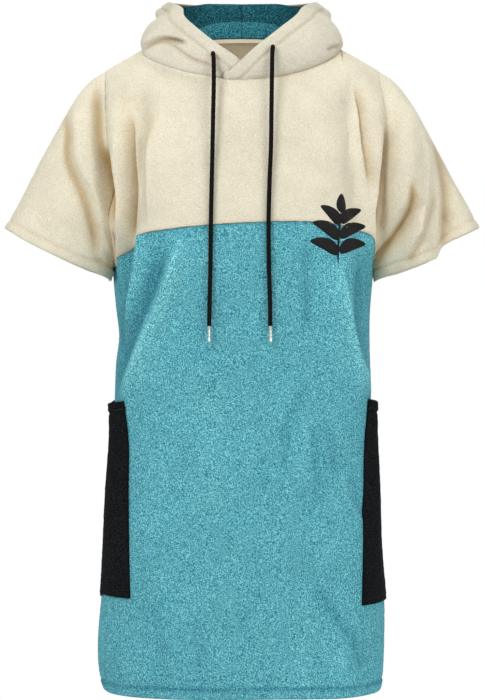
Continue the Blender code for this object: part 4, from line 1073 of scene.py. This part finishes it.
for side, end in SIDES:
    slant_top, slant_bottom = POCKET_SLANT[end]

    def pocket_shape(points):
        """Slants the front edge of the pocket along the cloth under it."""
        moved = points.copy()
        level = (points[:, 2] - POCKET_TOP) / (POCKET_BOTTOM - POCKET_TOP)
        in_front = ease((-points[:, 1] - SLANT_FRONT) / SLANT_SPAN)
        slide = (slant_top + (slant_bottom - slant_top) * level) * in_front
        for number in np.abs(slide).nonzero()[0]:
            point = Vector(points[number])
            under, normal, _, _ = front_wall.find_nearest(point)
            stand = (point - under).dot(normal)
            under, normal, _, _ = front_wall.find_nearest(point - Vector((side * slide[number], 0, 0)))
            moved[number] = under + normal * stand
            corner = ease(-points[number, 1] / RISE_SPAN)
            moved[number, 2] += POCKET_RISE[end] * level[number] ** 3 * corner
        return moved

    name = "pocket_cloth_" + end
    pocket = dress("pocket_" + end, name, black_terry, pocket_seam, pocket_hem,
                   POCKET_HEM, pocket_shape)
    sew("pocket_stitches_" + end, stitch_lines[name], black_thread)

# ------------------------------------------------------------------ embroidery
# A leaf sprig on the left of the chest, across the colour seam.  It is sewn straight on to the terry in
# black satin stitch, whose threads lie side by side.
SPRIG_MIDDLE = (0.1475, -0.290)
SPRIG_HEIGHT = 0.0018       # of the stitches over the cloth
CHEST_DEPTH = -0.12         # where the sprig lies until a look from the front first meets the cloth
EYE_DEPTH = -0.5            # from where the cloth is looked for
STEM_HALF = 0.002           # what is narrower than this is the stem, which is of one width
LEAF_BASE = 1.15            # a leaf's width where it starts, as a share of the one given
LEAF_TAPER = 0.5            # and how much of that is gone where it ends
SATIN_SCALE = 620
# start, end, bow to the left and half width of the stem and of each leaf, from the sprig's middle
SPRIG = [
    ((-0.003, -0.053), (0.003, 0.034), 0.0015, 0.0017),
    ((0.004, 0.026), (0.003, 0.055), 0.0015, 0.0080),
    ((-0.0020, -0.036), (-0.045, -0.017), -0.0055, 0.0105),
    ((-0.0010, -0.033), (0.041, -0.019), 0.0055, 0.0105),
    ((-0.0010, -0.014), (-0.041, 0.011), -0.0055, 0.0102),
    ((0.0000, -0.011), (0.041, 0.008), 0.0055, 0.0102),
    ((0.0010, 0.008), (-0.029, 0.036), -0.0040, 0.0090),
    ((0.0015, 0.011), (0.034, 0.033), 0.0040, 0.0090),
]
black_satin, tree, shader = plain_material("black satin stitch", (0.004, 0.004, 0.0045), 0.6)
shader.inputs["Specular IOR Level"].default_value = 0.25
place = tree.nodes.new("ShaderNodeTexCoord")
lie = tree.nodes.new("ShaderNodeTexWave")
lie.inputs["Scale"].default_value = SATIN_SCALE
lie.inputs["Distortion"].default_value = 1.2
tree.links.new(place.outputs["Object"], lie.inputs["Vector"])
add_bump(tree, shader, lie.outputs["Fac"], 0.5, 0.0003)
work = bmesh.new()
depth = CHEST_DEPTH
for (start_x, start_z), (end_x, end_z), bow, half in SPRIG:
    made = bmesh.ops.create_uvsphere(work, u_segments=30, v_segments=14, radius=1.0,
                                     matrix=Matrix.Rotation(math.pi / 2, 4, "Y"))["verts"]
    start, end = Vector((start_x, start_z)), Vector((end_x, end_z))
    run = end - start
    across = Vector((-run.y, run.x)).normalized()
    for vert in made:
        share = 0.5 + 0.5 * vert.co.x
        bend = across * bow * 4 * share * (1 - share)
        wide = half * (1.0 if half < STEM_HALF else LEAF_BASE - LEAF_TAPER * share)
        spot = start + run * share + bend + across * vert.co.y * wide
        eye = Vector((SPRIG_MIDDLE[0] + spot.x, EYE_DEPTH, SPRIG_MIDDLE[1] + spot.y))
        hits = [surfaces[name].ray_cast(eye, Vector((0, 1, 0)))[0]
                for name in ("front_yoke_cloth", "front_body_cloth")]
        depth = min([hit.y for hit in hits if hit], default=depth)
        vert.co = (eye.x, depth - vert.co.z * SPRIG_HEIGHT, eye.z)
bmesh.ops.recalc_face_normals(work, faces=work.faces)
new_piece("leaf_sprig", work, black_satin)
